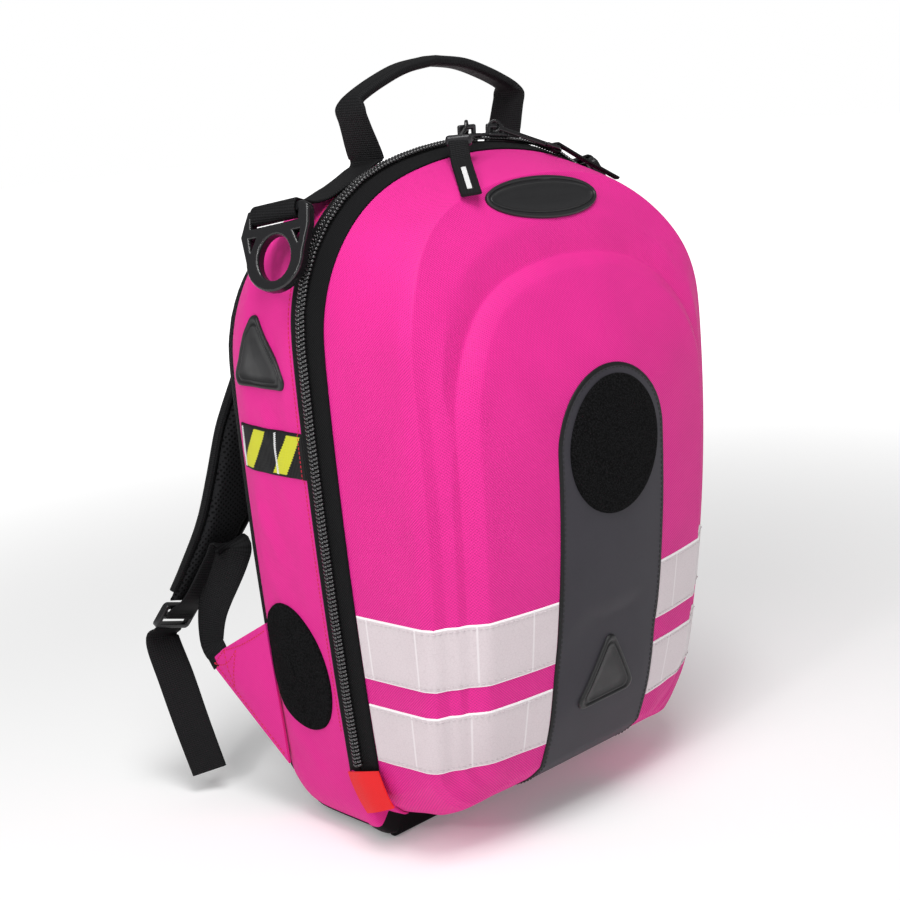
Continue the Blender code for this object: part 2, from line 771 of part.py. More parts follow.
def make_tapes():
    tape = surface(lid_rings()[:3], stations=zip_stations())
    face_outwards(tape, LID_INSIDE)
    keep(thicken(shift_out(tape, SEAT), TAPE, 1), "zip_tape_lid", BLACK_FABRIC)

    rows = [tub_outline(d, 0.0, LID_BOTTOM, LID_CORNER_RADIUS) for d in tub_depths()[:3]]
    tape = surface(rows, stations=zip_stations())
    face_outwards(tape, TUB_INSIDE)
    keep(thicken(shift_out(tape, SEAT), TAPE, 1), "zip_tape_body", BLACK_FABRIC)


def swept_profile(profile):
    """Sweep (outward offset, depth) points along the zip, with flat ends."""
    stations = zip_stations()
    lines = [[rim(offset)[i] for i in stations] for offset, depth in profile]
    count = len(profile)
    verts = []
    for i in range(len(stations)):
        for k, (offset, depth) in enumerate(profile):
            x, z, angle = lines[k][i]
            verts.append((x, ZIP_Y + depth, z))
    faces = [tuple(range(count)), tuple(range(len(verts) - 1, len(verts) - 1 - count, -1))]
    for i in range(len(stations) - 1):
        for k in range(count):
            j = (k + 1) % count
            faces.append((i * count + k, i * count + j, (i + 1) * count + j, (i + 1) * count + k))
    return new_object("sweep", verts, faces)


CHAIN_FOOT = TAPE + 2 * SEAT
CHAIN_TOP = CHAIN_FOOT + CHAIN_HEIGHT


def make_chains():
    chamfer = CHAIN_HEIGHT / 3
    outer = RIM_GAP + CHAIN_WIDTH
    half = [
        (CHAIN_FOOT, RIM_GAP), (CHAIN_FOOT, outer), (CHAIN_TOP - chamfer, outer),
        (CHAIN_TOP, outer - chamfer), (CHAIN_TOP, RIM_GAP),
    ]
    keep(swept_profile(half), "zip_chain_body", BLACK_PLASTIC)
    keep(swept_profile([(o, -d) for o, d in half]), "zip_chain_lid", BLACK_PLASTIC)


def make_end_tabs():
    """Red fabric that closes each end of the zip, sewn half to the tub and half to the lid."""
    zip_end = min(ring[ZIP_FIRST].z for ring in lid_rings()[:3]) - END_TAB_GAP
    for name, side in SIDES.items():
        near, far = sorted((side * BAG_WIDTH / 4, side * BAG_WIDTH))
        low, high = zip_end - END_TAB_HEIGHT, zip_end
        tab = box((near, ZIP_Y, low), (far, ZIP_Y + BODY_TAPE, high))
        tub_skin(f"zip_end_tab_{name}", RED, END_TAB_THICKNESS, [tab])
        flap = box((near, ZIP_Y - LID_TAPE, low), (far, ZIP_Y, high))
        lid_skin(f"zip_end_flap_{name}", RED, SEAT, END_TAB_THICKNESS, [flap])


# Sliders and pulls, built at the top of the arc and then turned about its centre

def cylinder(centre, axis, radius, length, count=20):
    turn = axis.to_track_quat("Z", "Y").to_matrix().to_4x4()
    place = Matrix.Translation(centre) @ turn
    return prism(ellipse((0, 0), (2 * radius, 2 * radius), count=count), place, -length / 2, length / 2)


def join(parts):
    whole = parts[0]
    for other in parts[1:]:
        boolean(whole, other, "UNION")
    return whole


SLIDER_HALF = RIM_GAP + CHAIN_WIDTH + SLIDER_PLAY
PLATE_LOW = CHAIN_TOP + SLIDER_PLAY
PLATE_TOP = PLATE_LOW + SLIDER_PLATE
BRIDGE_Z = BAG_HEIGHT + PLATE_TOP + BRIDGE_RISE


def make_slider(name, nose):
    """Two plates round the chain, joined by a thin post at the nose, with a bridge for the pull."""
    half = SLIDER_LENGTH / 2
    post_ends = sorted((nose * half, nose * (half - SLIDER_POST_LENGTH)))
    bridge = BRIDGE_LENGTH / 2
    under = BAG_HEIGHT - SLIDER_UNDER
    low = under - SLIDER_PLATE
    foot_low = BAG_HEIGHT + PLATE_TOP - SLIDER_PLATE / 2
    bar_top = BRIDGE_Z + BRIDGE_BAR / 2
    wide = BRIDGE_BAR_WIDTH / 2
    parts = [
        box((-half, ZIP_Y - SLIDER_HALF, BAG_HEIGHT + PLATE_LOW), (half, ZIP_Y + SLIDER_HALF, BAG_HEIGHT + PLATE_TOP)),
        box((-half, ZIP_Y - SLIDER_HALF, low), (half, ZIP_Y + SLIDER_HALF, under)),
        box(
            (post_ends[0], ZIP_Y - SLIDER_POST_WIDTH / 2, low + SLIDER_PLATE / 2),
            (post_ends[1], ZIP_Y + SLIDER_POST_WIDTH / 2, foot_low),
        ),
        box((-bridge, ZIP_Y - wide, bar_top - BRIDGE_BAR), (bridge, ZIP_Y + wide, bar_top)),
        box((-bridge, ZIP_Y - wide, foot_low), (-bridge + BRIDGE_BAR, ZIP_Y + wide, bar_top)),
        box((bridge - BRIDGE_BAR, ZIP_Y - wide, foot_low), (bridge, ZIP_Y + wide, bar_top)),
    ]
    return keep(join(parts), f"slider_{name}", BLACK_METAL)


def pull_frame(yaw):
    """Local X runs along the pull, local Y is its hinge axis, and the origin is the bridge's bar."""
    return Matrix.Translation((0, ZIP_Y, BRIDGE_Z)) @ Matrix.Rotation(radians(yaw), 4, "Z")


# A prism's outline in this frame is (along the pull, up), and its thickness is along the hinge axis
UPRIGHT = Matrix(((1, 0, 0, 0), (0, 0, -1, 0), (0, 1, 0, 0), (0, 0, 0, 1)))


def make_link(name):
    """A slim bar with an eye round the bridge and a frame for the fabric tab."""
    place = pull_frame(PULL_YAWS[name])
    slope = atan2(LINK_FALLS[name], LINK_LENGTH)
    tilt = place @ Matrix.Rotation(slope, 4, "Y")
    outer = LINK_EYE_RADIUS + LINK_EYE_WALL
    thick = BRIDGE_BAR_WIDTH / 2
    frame_half = PULL_TAB_WIDTH / 2 + SEAT + LINK_FRAME_WALL
    frame_start = LINK_LENGTH - LINK_FRAME_LENGTH
    eye = prism(ellipse((0, 0), (2 * outer, 2 * outer), count=24), tilt @ UPRIGHT, -thick, thick)
    bar = box(
        (outer - LINK_EYE_WALL / 2, -thick, -LINK_BAR / 2),
        (frame_start + LINK_FRAME_WALL / 2, thick, LINK_BAR / 2),
    )
    frame = box(
        (frame_start, -frame_half, -LINK_FRAME_WALL / 2),
        (LINK_LENGTH, frame_half, LINK_FRAME_WALL / 2),
    )
    window = box(
        (frame_start + LINK_FRAME_WALL, -frame_half + LINK_FRAME_WALL, -1),
        (LINK_LENGTH - LINK_FRAME_WALL, frame_half - LINK_FRAME_WALL, 1),
    )
    boolean(frame, window, "DIFFERENCE")
    boolean(bar, frame, "UNION")
    bar.data.transform(tilt)
    boolean(eye, bar, "UNION")
    hole = prism(
        ellipse((0, 0), (2 * LINK_EYE_RADIUS, 2 * LINK_EYE_RADIUS), count=24), tilt @ UPRIGHT, -4 * thick, 4 * thick,
    )
    boolean(eye, hole, "DIFFERENCE")
    return keep(eye, f"pull_link_{name}", BLACK_PLASTIC)


def band_outline(path, thickness):
    """A strip of even thickness along a 2D path, as one closed outline."""
    left, right = [], []
    last = len(path) - 1
    for i, point in enumerate(path):
        here = Vector(point)
        ahead = Vector(path[min(i + 1, last)])
        behind = Vector(path[max(i - 1, 0)])
        tangent = (ahead - behind).normalized()
        normal = Vector((-tangent.y, tangent.x)) * (thickness / 2)
        left.append(tuple(here + normal))
        right.append(tuple(here - normal))
    return left + right[::-1]


def arc(centre, radius, start, end, count):
    points = []
    for i in range(count + 1):
        angle = radians(mix(start, end, i / count))
        points.append((centre[0] + radius * cos(angle), centre[1] + radius * sin(angle)))
    return points


def make_pull_tab(name):
    """Webbing folded round the link's end bar and hanging on past it, a little to one side."""
    slope = atan2(LINK_FALLS[name], LINK_LENGTH)
    bar_u = LINK_LENGTH * cos(slope) - LINK_FRAME_WALL / 2 * cos(slope)
    bar_v = -LINK_LENGTH * sin(slope) + LINK_FRAME_WALL / 2 * sin(slope)
    radius = LINK_FRAME_WALL * sqrt(0.5) + SEAT + PULL_TAB_THICKNESS / 2
    turn = 270
    first = 90 - PULL_TAB_STRETCHES[name][0][1]
    path = arc((bar_u, bar_v), radius, first + turn, first, 18)
    for length, dip in PULL_TAB_STRETCHES[name]:
        along = Vector((cos(radians(dip)), -sin(radians(dip))))
        path.append(tuple(Vector(path[-1]) + along * length))
    half = PULL_TAB_WIDTH / 2
    tab = prism(band_outline(path, PULL_TAB_THICKNESS), UPRIGHT, -half, half)
    for vertex in tab.data.vertices:
        vertex.co.y += PULL_TAB_SLANTS[name] * max(0.0, vertex.co.x - bar_u - 2 * radius)
    tab.data.transform(pull_frame(PULL_YAWS[name]))
    return keep(tab, f"pull_tab_{name}", BLACK_FABRIC)


def make_zip_runners():
    for name, side in SIDES.items():
        turn = Matrix.Rotation(radians(SLIDER_ANGLES[name]), 4, "Y")
        centre = Matrix.Translation((0, ZIP_Y, ARC_CENTRE_Z))
        about_arc = centre @ turn @ centre.inverted()
        pieces = [
            make_slider(name, -side),
            make_link(name),
            make_pull_tab(name),
        ]
        for piece in pieces:
            piece.data.transform(about_arc)


# Handle straps, grip and D-rings

def top_fall(depth):
    return BACK_DROP * (depth / BODY_DEPTH) ** TOP_CURVE


def arch_height(x):
    """Height of the zip's arch where it crosses a distance from the middle, on its shoulder arc."""
    angle = asin((BAG_WIDTH / 2 - SHOULDER_RADIUS) / (TOP_RADIUS - SHOULDER_RADIUS))
    centre_x = BAG_WIDTH / 2 - SHOULDER_RADIUS
    centre_z = ARC_CENTRE_Z + (TOP_RADIUS - SHOULDER_RADIUS) * cos(angle)
    return centre_z + sqrt(SHOULDER_RADIUS ** 2 - (x - centre_x) ** 2)


STRAP_BACK = STRAP_FRONT + STRAP_WIDTH
STRAP_MIDDLE = STRAP_FRONT + STRAP_WIDTH / 2
STRAP_SLOPE = (top_fall(STRAP_BACK) - top_fall(STRAP_FRONT)) / STRAP_WIDTH
FOOT_TOUCH = arch_height(HANDLE_FOOT_X) - top_fall(STRAP_MIDDLE) + STRAP_SLOPE * STRAP_WIDTH / 2
FOOT_Z = FOOT_TOUCH + FOOT_LIFT + STRAP_THICKNESS / 2
LOOP_RADIUS = sqrt(RING_BAR ** 2 + RING_THICKNESS ** 2) / 2 + RING_PLAY + STRAP_THICKNESS / 2
RUN_START = Vector((HANDLE_FOOT_X, FOOT_Z))
RUN_WAY = Vector((cos(radians(STRAP_DIP)), -sin(radians(STRAP_DIP))))
RUN_END = RUN_START + RUN_WAY * STRAP_RUN
RING_CENTRE = RUN_END + Vector((RUN_WAY.y, -RUN_WAY.x)) * LOOP_RADIUS
HANDLE_Y = ZIP_Y + STRAP_MIDDLE
HANDLE_PIVOT_HEIGHT = FOOT_Z + LEG_HEIGHT


def slope_back(item):
    """Let a piece follow the bag's top, which falls towards the back."""
    for vertex in item.data.vertices:
        vertex.co.z -= STRAP_SLOPE * (vertex.co.y - ZIP_Y - STRAP_FRONT)
    return item


def triangulate(item):
    """Fix how a mesh's faces are split, before or after they are bent out of flat."""
    work = bmesh.new()
    work.from_mesh(item.data)
    bmesh.ops.triangulate(work, faces=work.faces)
    work.to_mesh(item.data)
    work.free()
    return item


def twist_to_ring(item, side):
    """Turn a strap's far end, so that its loop faces a little to the front."""
    first = HANDLE_FOOT_X + TWIST_START
    last = RING_CENTRE.x - TWIST_END
    centre = Matrix.Translation((side * RING_CENTRE.x, HANDLE_Y, 0))
    for vertex in item.data.vertices:
        share = smooth_step((abs(vertex.co.x) - first) / (last - first))
        turn = Matrix.Rotation(-side * radians(RING_TWIST) * share, 4, "Z")
        vertex.co = centre @ turn @ centre.inverted() @ vertex.co
    return item


def make_handle_strap(name, side):
    """One webbing: a leg of the handle, its sewn foot, a run along the shoulder and a loop for the D-ring."""
    leg_top = (HANDLE_PIVOT_X, HANDLE_PIVOT_HEIGHT - GRIP_KNUCKLE - 2 * SEAT + STRAP_SLOPE * STRAP_WIDTH / 2)
    bend = (HANDLE_FOOT_X, FOOT_Z + FOOT_BEND)
    leg_foot = Vector((bend[0] - FOOT_BEND, bend[1]))
    path = [tuple(Vector(leg_top).lerp(leg_foot, i / 5)) for i in range(5)]
    path += arc(bend, FOOT_BEND, 180, 270 - STRAP_DIP, 6)
    path += [tuple(RUN_START.lerp(RUN_END, i / 8)) for i in range(1, 8)]
    path += arc(tuple(RING_CENTRE), LOOP_RADIUS, 90 - STRAP_DIP, 90 - STRAP_DIP - STRAP_LOOP_TURN, 22)
    outline = [(side * x, z) for x, z in band_outline(path, STRAP_THICKNESS)]
    strap = triangulate(prism(outline, FRONT, ZIP_Y + STRAP_FRONT, ZIP_Y + STRAP_BACK))
    for vertex in strap.data.vertices:
        up = (vertex.co.z - bend[1]) / (leg_top[1] - bend[1])
        narrow = mix(1.0, LEG_TOP_WIDTH / STRAP_WIDTH, smooth_step(up))
        vertex.co.y = HANDLE_Y + (vertex.co.y - HANDLE_Y) * narrow
    twist_to_ring(slope_back(strap), side)
    return keep(strap, f"handle_strap_{name}", BLACK_FABRIC)


def ring_middle(side):
    return Vector((side * RING_CENTRE.x, HANDLE_Y, RING_CENTRE.y - STRAP_SLOPE * STRAP_WIDTH / 2))


def ring_axes(side):
    """Directions along the ring's bar, down its face and through its thickness."""
    turn = Matrix.Rotation(-side * radians(RING_TWIST), 3, "Z")
    lean = radians(RING_LEAN)
    along = (turn @ Vector((0, 1, -STRAP_SLOPE))).normalized()
    down = turn @ Vector((side * sin(lean), 0, -cos(lean)))
    down = (down - along * down.dot(along)).normalized()
    return along, down, along.cross(down)


def make_ring(name, side):
    """Moulded D-ring: a bar and slot for the webbing, a round eye and two side windows."""
    half = RING_WIDTH / 2
    low = -RING_BAR / 2
    foot = RING_HEIGHT + low
    eye_middle = foot - RING_NOSE
    outline = rounded([(-half, low), (half, low), (half, RING_WAIST), (-half, RING_WAIST)], RING_CORNER)
    outline = [point for point in outline if point[1] < RING_WAIST - RING_CORNER]
    split = len(outline) // 2
    outline = outline[:split] + [(half, RING_WAIST)] + arc((0, eye_middle), RING_NOSE, 0, 180, 16)
    outline += [(-half, RING_WAIST)]
    slot_half = STRAP_WIDTH / 2 + 2 * RING_PLAY
    slot_end = RING_BAR / 2 + RING_SLOT
    eye_top = slot_end + RING_RIM
    eye_size = (2 * RING_NOSE - 3 * RING_RIM, foot - RING_RIM - eye_top)
    along, down, out = ring_axes(side)
    middle = ring_middle(side)
    place = Matrix((
        (along.x, down.x, out.x, middle.x), (along.y, down.y, out.y, middle.y),
        (along.z, down.z, out.z, middle.z), (0, 0, 0, 1),
    ))
    thick = RING_THICKNESS / 2
    ring = prism(outline, place, -thick, thick)
    cuts = [
        [(-slot_half, RING_BAR / 2), (slot_half, RING_BAR / 2), (slot_half, slot_end), (-slot_half, slot_end)],
        ellipse((0, eye_top + eye_size[1] / 2), eye_size, count=28),
    ]
    for way in (-1, 1):
        inner = way * eye_size[0] / 2
        outer = way * (half - RING_RIM)
        tip = way * (eye_size[0] / 2 + RING_RIM)
        cuts.append([(inner, eye_top), (outer, eye_top), (tip, eye_top + RING_WINDOW)])
    for cut in cuts:
        boolean(ring, prism(cut, place, -4 * thick, 4 * thick), "DIFFERENCE")
    return keep(ring, f"dring_{name}", BLACK_PLASTIC)


def curve_through(points, steps):
    """Points of a smooth curve through control points, whatever their number of coordinates."""
    ends = [points[0] * 2 - points[1]] + points + [points[-1] * 2 - points[-2]]
    made = []
    for i in range(1, len(ends) - 2):
        before, start, end, after = ends[i - 1:i + 3]
        for k in range(steps):
            t = k / steps
            made.append(0.5 * (
                2 * start + (end - before) * t
                + (2 * before - 5 * start + 4 * end - after) * t * t
                + (3 * start - before - 3 * end + after) * t ** 3
            ))
    made.append(points[-1].copy())
    return made


def section_box(width, thickness):
    a, b = width / 2, thickness / 2
    return [(-a, -b), (a, -b), (a, b), (-a, b)]


def section_pad(width, thickness):
    """A padded strap's section: flat faces that roll over into round edges."""
    a, b = width / 2, thickness / 2
    edge = min(b * PAD_EDGE, a * PAD_EDGE_MOST)
    return [
        (-a, 0), (-a + edge * 0.35, -b * 0.75), (-a + edge, -b), (a - edge, -b), (a - edge * 0.35, -b * 0.75),
        (a, 0), (a - edge * 0.35, b * 0.75), (a - edge, b), (-a + edge, b), (-a + edge * 0.35, b * 0.75),
    ]


def ribbon(path, ways, sizes, section):
    """Sweep a section along a 3D path. Ways give its width's direction and sizes its width and thickness."""
    count = len(section(*sizes[0]))
    last = len(path) - 1
    verts = []
    for i, point in enumerate(path):
        tangent = (path[min(i + 1, last)] - path[max(i - 1, 0)]).normalized()
        wide = (ways[i] - tangent * ways[i].dot(tangent)).normalized()
        thick = tangent.cross(wide)
        for a, b in section(*sizes[i]):
            verts.append(point + wide * a + thick * b)
    faces = [tuple(range(count)), tuple(range(len(verts) - 1, len(verts) - 1 - count, -1))]
    for i in range(last):
        for k in range(count):
            j = (k + 1) % count
            faces.append((i * count + k, i * count + j, (i + 1) * count + j, (i + 1) * count + k))
    return triangulate(new_object("ribbon", verts, faces))


def make_grip():
    """The handle's folded middle, narrowing to a round knuckle at each end."""
    rise = HANDLE_RISE
    half = [
        (HANDLE_PIVOT_X, 0.0), (HANDLE_PIVOT_X - rise * 0.10, rise * 0.34),
        (HANDLE_PIVOT_X - rise * 0.60, rise * 0.62), (HANDLE_PIVOT_X * 0.40, rise * 0.92), (0.0, rise),
    ]
    points = [Vector((-x, HANDLE_Y, HANDLE_PIVOT_HEIGHT + z)) for x, z in half]
    points += [Vector((x, HANDLE_Y, HANDLE_PIVOT_HEIGHT + z)) for x, z in half[-2::-1]]
    path = curve_through(points, 4)
    sizes = []
    for point in path:
        up = (point.z - HANDLE_PIVOT_HEIGHT) / rise
        sizes.append((mix(1.7 * GRIP_KNUCKLE, GRIP_WIDTH, smooth_step(2 * up)), GRIP_THICKNESS))
    grip = ribbon(path, [Vector((0, 1, 0))] * len(path), sizes, section_pad)
    finish(grip, BLACK_FABRIC)
    for side in (-1, 1):
        centre = Vector((side * HANDLE_PIVOT_X, HANDLE_Y, HANDLE_PIVOT_HEIGHT))
        boolean(grip, cylinder(centre, Vector((1, 0, 0)), GRIP_KNUCKLE, 1.3 * GRIP_THICKNESS), "UNION")
    return keep(grip, "handle_grip", BLACK_FABRIC)


# Shoulder straps: routes are (distance out from the middle, depth, height)

PAD_FACE = BODY_DEPTH + SEAT + BACK_PAD
PAD_SEAT = PAD_FACE + 2 * SEAT + PAD_THICKNESS / 2
PAD_ROUTE = [
    (0.058, PAD_SEAT, 0.468), (0.063, PAD_SEAT + 0.001, 0.440), (0.073, PAD_SEAT + 0.013, 0.400),
    (0.086, PAD_SEAT + 0.031, 0.352), (0.099, PAD_SEAT + 0.042, 0.312), (0.114, PAD_SEAT + 0.047, 0.271),
    (0.131, PAD_SEAT + 0.053, 0.232), (0.149, PAD_SEAT + 0.065, 0.196), (0.163, PAD_SEAT + 0.078, 0.165),
]
PAD_END = Vector(PAD_ROUTE[-1])
LOCK_WAY = Vector((0.352, 0.446, -0.822)).normalized()
LOCK_ACROSS = (Vector((1, 0, 0)) - LOCK_WAY * LOCK_WAY.x).normalized()
LOCK_INWARD = LOCK_WAY.cross(LOCK_ACROSS)
LOCK_CENTRE = PAD_END + LOCK_WAY * (LOCK_LENGTH / 2 + LOCK_GAP)
LOCK_FACE = LOCK_CENTRE + LOCK_INWARD * (LOCK_THICKNESS / 2 + 3 * SEAT + WEBBING_THICKNESS / 2)
TAIL_START = LOCK_CENTRE + LOCK_WAY * (LOCK_LENGTH / 2 + LOCK_GAP)
TAIL_ROUTE = [
    TAIL_START, TAIL_START + LOCK_WAY * 0.012, (0.176, 0.2120, 0.100), (0.173, 0.2010, 0.060), (0.169, 0.1900, 0.020),
]
WEBBING_ROUTE = [
    (0.1600, 0.1708, 0.1280), (0.1595, 0.1772, 0.1374), (0.1530, 0.1780, 0.1650), (0.1430, 0.1630, 0.2020),
    (0.1400, 0.1590, 0.2150), (0.1420, 0.1660, 0.2170), (0.1460, 0.1720, 0.2060),
    PAD_END + LOCK_INWARD * (PAD_THICKNESS * 0.7 + WEBBING_THICKNESS) - LOCK_WAY * 0.014,
    LOCK_FACE - LOCK_WAY * (LOCK_LENGTH / 3), LOCK_FACE,
]
WING_TIP = ((0.1600, 0.1580, 0.1340), (0.1600, 0.1810, 0.1180))
WING_ROOT_HEIGHTS = (0.169, 0.047)


def route(points, side):
    return [Vector((side * x, ZIP_Y + depth, z)) for x, depth, z in points]


def blend_ways(ways, side, count):
    """Spread a few width directions evenly along a path."""
    made = []
    for i in range(count):
        at = i / (count - 1) * (len(ways) - 1)
        k = min(int(at), len(ways) - 2)
        way = Vector(ways[k]).lerp(Vector(ways[k + 1]), at - k)
        made.append(Vector((way.x * side, way.y, way.z)))
    return made


def make_pad(name, side):
    path = curve_through(route(PAD_ROUTE, side), 3)
    last = len(path) - 1
    sizes = []
    for i in range(len(path)):
        along = i / last
        width = mix(PAD_WIDTH, PAD_TIP_WIDTH, smooth_step(2 * along - 1))
        thickness = mix(PAD_TIP_THICKNESS, PAD_THICKNESS, smooth_step(5 * (1 - along)))
        sizes.append((width, thickness))
    ways = blend_ways([(1, 0, 0), (1, 0, 0), LOCK_ACROSS], side, len(path))
    return keep(ribbon(path, ways, sizes, section_pad), f"shoulder_strap_{name}", BLACK_FABRIC)


def make_webbing(name, side):
    path = curve_through(route(WEBBING_ROUTE, side), 4)
    turns = [(0, 0.8, -0.6), (0.4, 0.8, -0.3), (0.8, 0.5, -0.1), (1, 0.1, 0), LOCK_ACROSS, LOCK_ACROSS]
    ways = blend_ways(turns, side, len(path))
    sizes = [(WEBBING_WIDTH, WEBBING_THICKNESS)] * len(path)
    keep(ribbon(path, ways, sizes, section_box), f"lower_webbing_{name}", BLACK_FABRIC)

    path = curve_through(route(TAIL_ROUTE, side), 3)
    ways = blend_ways([LOCK_ACROSS, (1, 0.3, 0), (0.8, 0.6, 0), (0.72, 0.69, 0)], side, len(path))
    sizes = [(WEBBING_WIDTH, WEBBING_THICKNESS)] * len(path)
    keep(ribbon(path, ways, sizes, section_box), f"webbing_tail_{name}", BLACK_FABRIC)


def make_lock(name, side):
    """Ladder lock: a frame with two slots, held across the strap's end."""
    end = route([LOCK_CENTRE], side)[0]
    wide, way, thick = (Vector((side * v.x, v.y, v.z)) for v in (LOCK_ACROSS, LOCK_WAY, LOCK_INWARD))
    place = Matrix((
        (wide.x, way.x, thick.x, end.x), (wide.y, way.y, thick.y, end.y),
        (wide.z, way.z, thick.z, end.z), (0, 0, 0, 1),
    ))
    half, long = LOCK_WIDTH / 2, LOCK_LENGTH / 2
    lock = prism(
        rounded([(-half, -long), (half, -long), (half, long), (-half, long)], LOCK_BAR * 0.9),
        place, -LOCK_THICKNESS / 2, LOCK_THICKNESS / 2,
    )
    slot_half = half - LOCK_BAR
    for low, high in ((-long + LOCK_BAR, -LOCK_BAR / 2), (LOCK_BAR / 2, long - LOCK_BAR)):
        slot = [(-slot_half, low), (slot_half, low), (slot_half, high), (-slot_half, high)]
        boolean(lock, prism(slot, place, -LOCK_THICKNESS, LOCK_THICKNESS), "DIFFERENCE")
    return keep(lock, f"ladder_lock_{name}", BLACK_PLASTIC)


def make_wing(name, side):
    """Triangular fabric wing from the back seam to the lower end of the strap's webbing."""
    corners = []
    for height in WING_ROOT_HEIGHTS:
        seam = max(p.x for p in tub_outline(BODY_DEPTH) if abs(p.z - height) < 0.05)
        corners.append(Vector((side * (seam + 2 * SEAT + WING_THICKNESS / 2), ZIP_Y + BODY_DEPTH, height)))
    tip = route(WING_TIP, side)
    corners += [tip[1], tip[0]]
    normal = (corners[2] - corners[0]).cross(corners[3] - corners[1]).normalized() * (WING_THICKNESS / 2)
    verts = [c - normal for c in corners] + [c + normal for c in corners]
    faces = [(3, 2, 1, 0), (4, 5, 6, 7)] + [(i, (i + 1) % 4, 4 + (i + 1) % 4, 4 + i) for i in range(4)]
    return keep(new_object("wing", verts, faces), f"wing_{name}", PINK)


def make_harness():
    for name, side in SIDES.items():
        make_pad(name, side)
        make_webbing(name, side)
        make_lock(name, side)
        make_wing(name, side)


def make_carry():
    for name, side in SIDES.items():
        make_handle_strap(name, side)
        make_ring(name, side)
    make_grip()


# Joint axes

def hang(name, point, pieces, parent=None):
    """Put an empty on a joint's axis and hang its moving pieces, or the next joint, from it."""
    axis = bpy.data.objects.new(name, None)
    bpy.context.collection.objects.link(axis)
    axis.empty_display_size = STRAP_WIDTH
    axis.location = point
    if parent:
        axis.parent = parent
        axis.matrix_parent_inverse = Matrix.Translation(parent["axis_at"]).inverted()
    axis["axis_at"] = tuple(point)
    for piece in pieces:
        NODES[piece].parent = axis
        NODES[piece].matrix_parent_inverse = Matrix.Translation(point).inverted()
    return axis


LID_PIECES = [
    "lid_shell", "lid_pocket", "centre_panel", "front_loop_patch", "front_badge", "oval_badge",
    "reflective_upper_left", "reflective_upper_right", "reflective_lower_left", "reflective_lower_right",
    "zip_tape_lid", "zip_chain_lid", "zip_end_flap_left", "zip_end_flap_right",
]


def make_axes():
    lid = hang("lid_hinge", (0, ZIP_Y, LID_BOTTOM), LID_PIECES)
    hang("handle_hinge", (0, HANDLE_Y, HANDLE_PIVOT_HEIGHT), ["handle_grip"])
    for name, side in SIDES.items():
        hang(f"dring_hinge_{name}", ring_middle(side), [f"dring_{name}"])
        slider = hang(f"slider_arc_{name}", (0, ZIP_Y, ARC_CENTRE_Z), [f"slider_{name}"], lid)
        angle = radians(SLIDER_ANGLES[name])
        reach = BRIDGE_Z - ARC_CENTRE_Z
        bridge = (reach * sin(angle), ZIP_Y, ARC_CENTRE_Z + reach * cos(angle))
        hang(f"pull_hinge_{name}", bridge, [f"pull_link_{name}", f"pull_tab_{name}"], slider)


clear_scene()
make_tub()
make_back_pad()
make_lid()
make_lid_trim()
make_side_trim()
make_tapes()
make_chains()
make_end_tabs()
make_zip_runners()
make_carry()
make_harness()
make_axes()
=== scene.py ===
# %% [markdown]
# # A pink emergency backpack
# The bag is a fabric tub with a moulded lid that zips on to its front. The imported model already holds
# every piece at its true size, so this lesson never moves those pieces. It dresses them: cloth gets
# folds and a weave, the zip gets teeth, and every seam gets its thread.

from math import atan2, ceil, cos, hypot, pi, radians, sin, sqrt

import bmesh
import bpy
from mathutils import Matrix, Vector, noise
from mathutils.bvhtree import BVHTree
from mathutils.interpolate import poly_3d_calc


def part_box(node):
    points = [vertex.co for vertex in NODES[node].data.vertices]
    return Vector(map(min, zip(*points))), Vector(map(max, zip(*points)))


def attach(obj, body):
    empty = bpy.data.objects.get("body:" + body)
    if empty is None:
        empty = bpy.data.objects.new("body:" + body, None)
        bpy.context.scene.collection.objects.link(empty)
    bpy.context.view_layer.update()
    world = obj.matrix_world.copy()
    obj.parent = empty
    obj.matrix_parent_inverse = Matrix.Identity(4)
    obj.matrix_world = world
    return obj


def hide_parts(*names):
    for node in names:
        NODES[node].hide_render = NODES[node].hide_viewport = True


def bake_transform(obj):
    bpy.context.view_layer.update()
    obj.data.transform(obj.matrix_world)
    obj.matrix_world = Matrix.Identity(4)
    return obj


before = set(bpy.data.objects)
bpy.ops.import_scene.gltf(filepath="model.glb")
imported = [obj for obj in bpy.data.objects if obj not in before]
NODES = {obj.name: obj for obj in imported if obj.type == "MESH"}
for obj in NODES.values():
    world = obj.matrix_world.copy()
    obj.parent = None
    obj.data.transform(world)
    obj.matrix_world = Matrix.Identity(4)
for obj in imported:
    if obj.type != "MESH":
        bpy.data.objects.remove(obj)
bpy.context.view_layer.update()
SIDES = {"left": -1, "right": 1}

# %% [markdown]
# ## Camera
# The photograph shows the bag from its left, a little above the middle. A camera can be aimed by eye,
# but here its three directions were solved from the outline of the bag. So they are written out.

# %% Camera
CAMERA_RIGHT = Vector((0.72114, -0.68810, -0.08047))
CAMERA_UP = Vector((0.21901, 0.11624, 0.96877))
CAMERA_AIM = Vector((0.65726, 0.71624, -0.23453))
CAMERA_PLACE = Vector((-0.85217, -0.92816, 0.58329))
CAMERA_LENS = 64
CAMERA_SENSOR = 36

camera = bpy.data.objects.new("camera", bpy.data.cameras.new("camera"))
camera.data.lens = CAMERA_LENS
camera.data.sensor_width = CAMERA_SENSOR
turn = Matrix((CAMERA_RIGHT, CAMERA_UP, -CAMERA_AIM)).transposed().to_4x4()
camera.matrix_world = Matrix.Translation(CAMERA_PLACE) @ turn
bpy.context.scene.collection.objects.link(camera)
bpy.context.scene.camera = camera
print("camera", round(CAMERA_PLACE.length, 2), "m from the bag's foot")

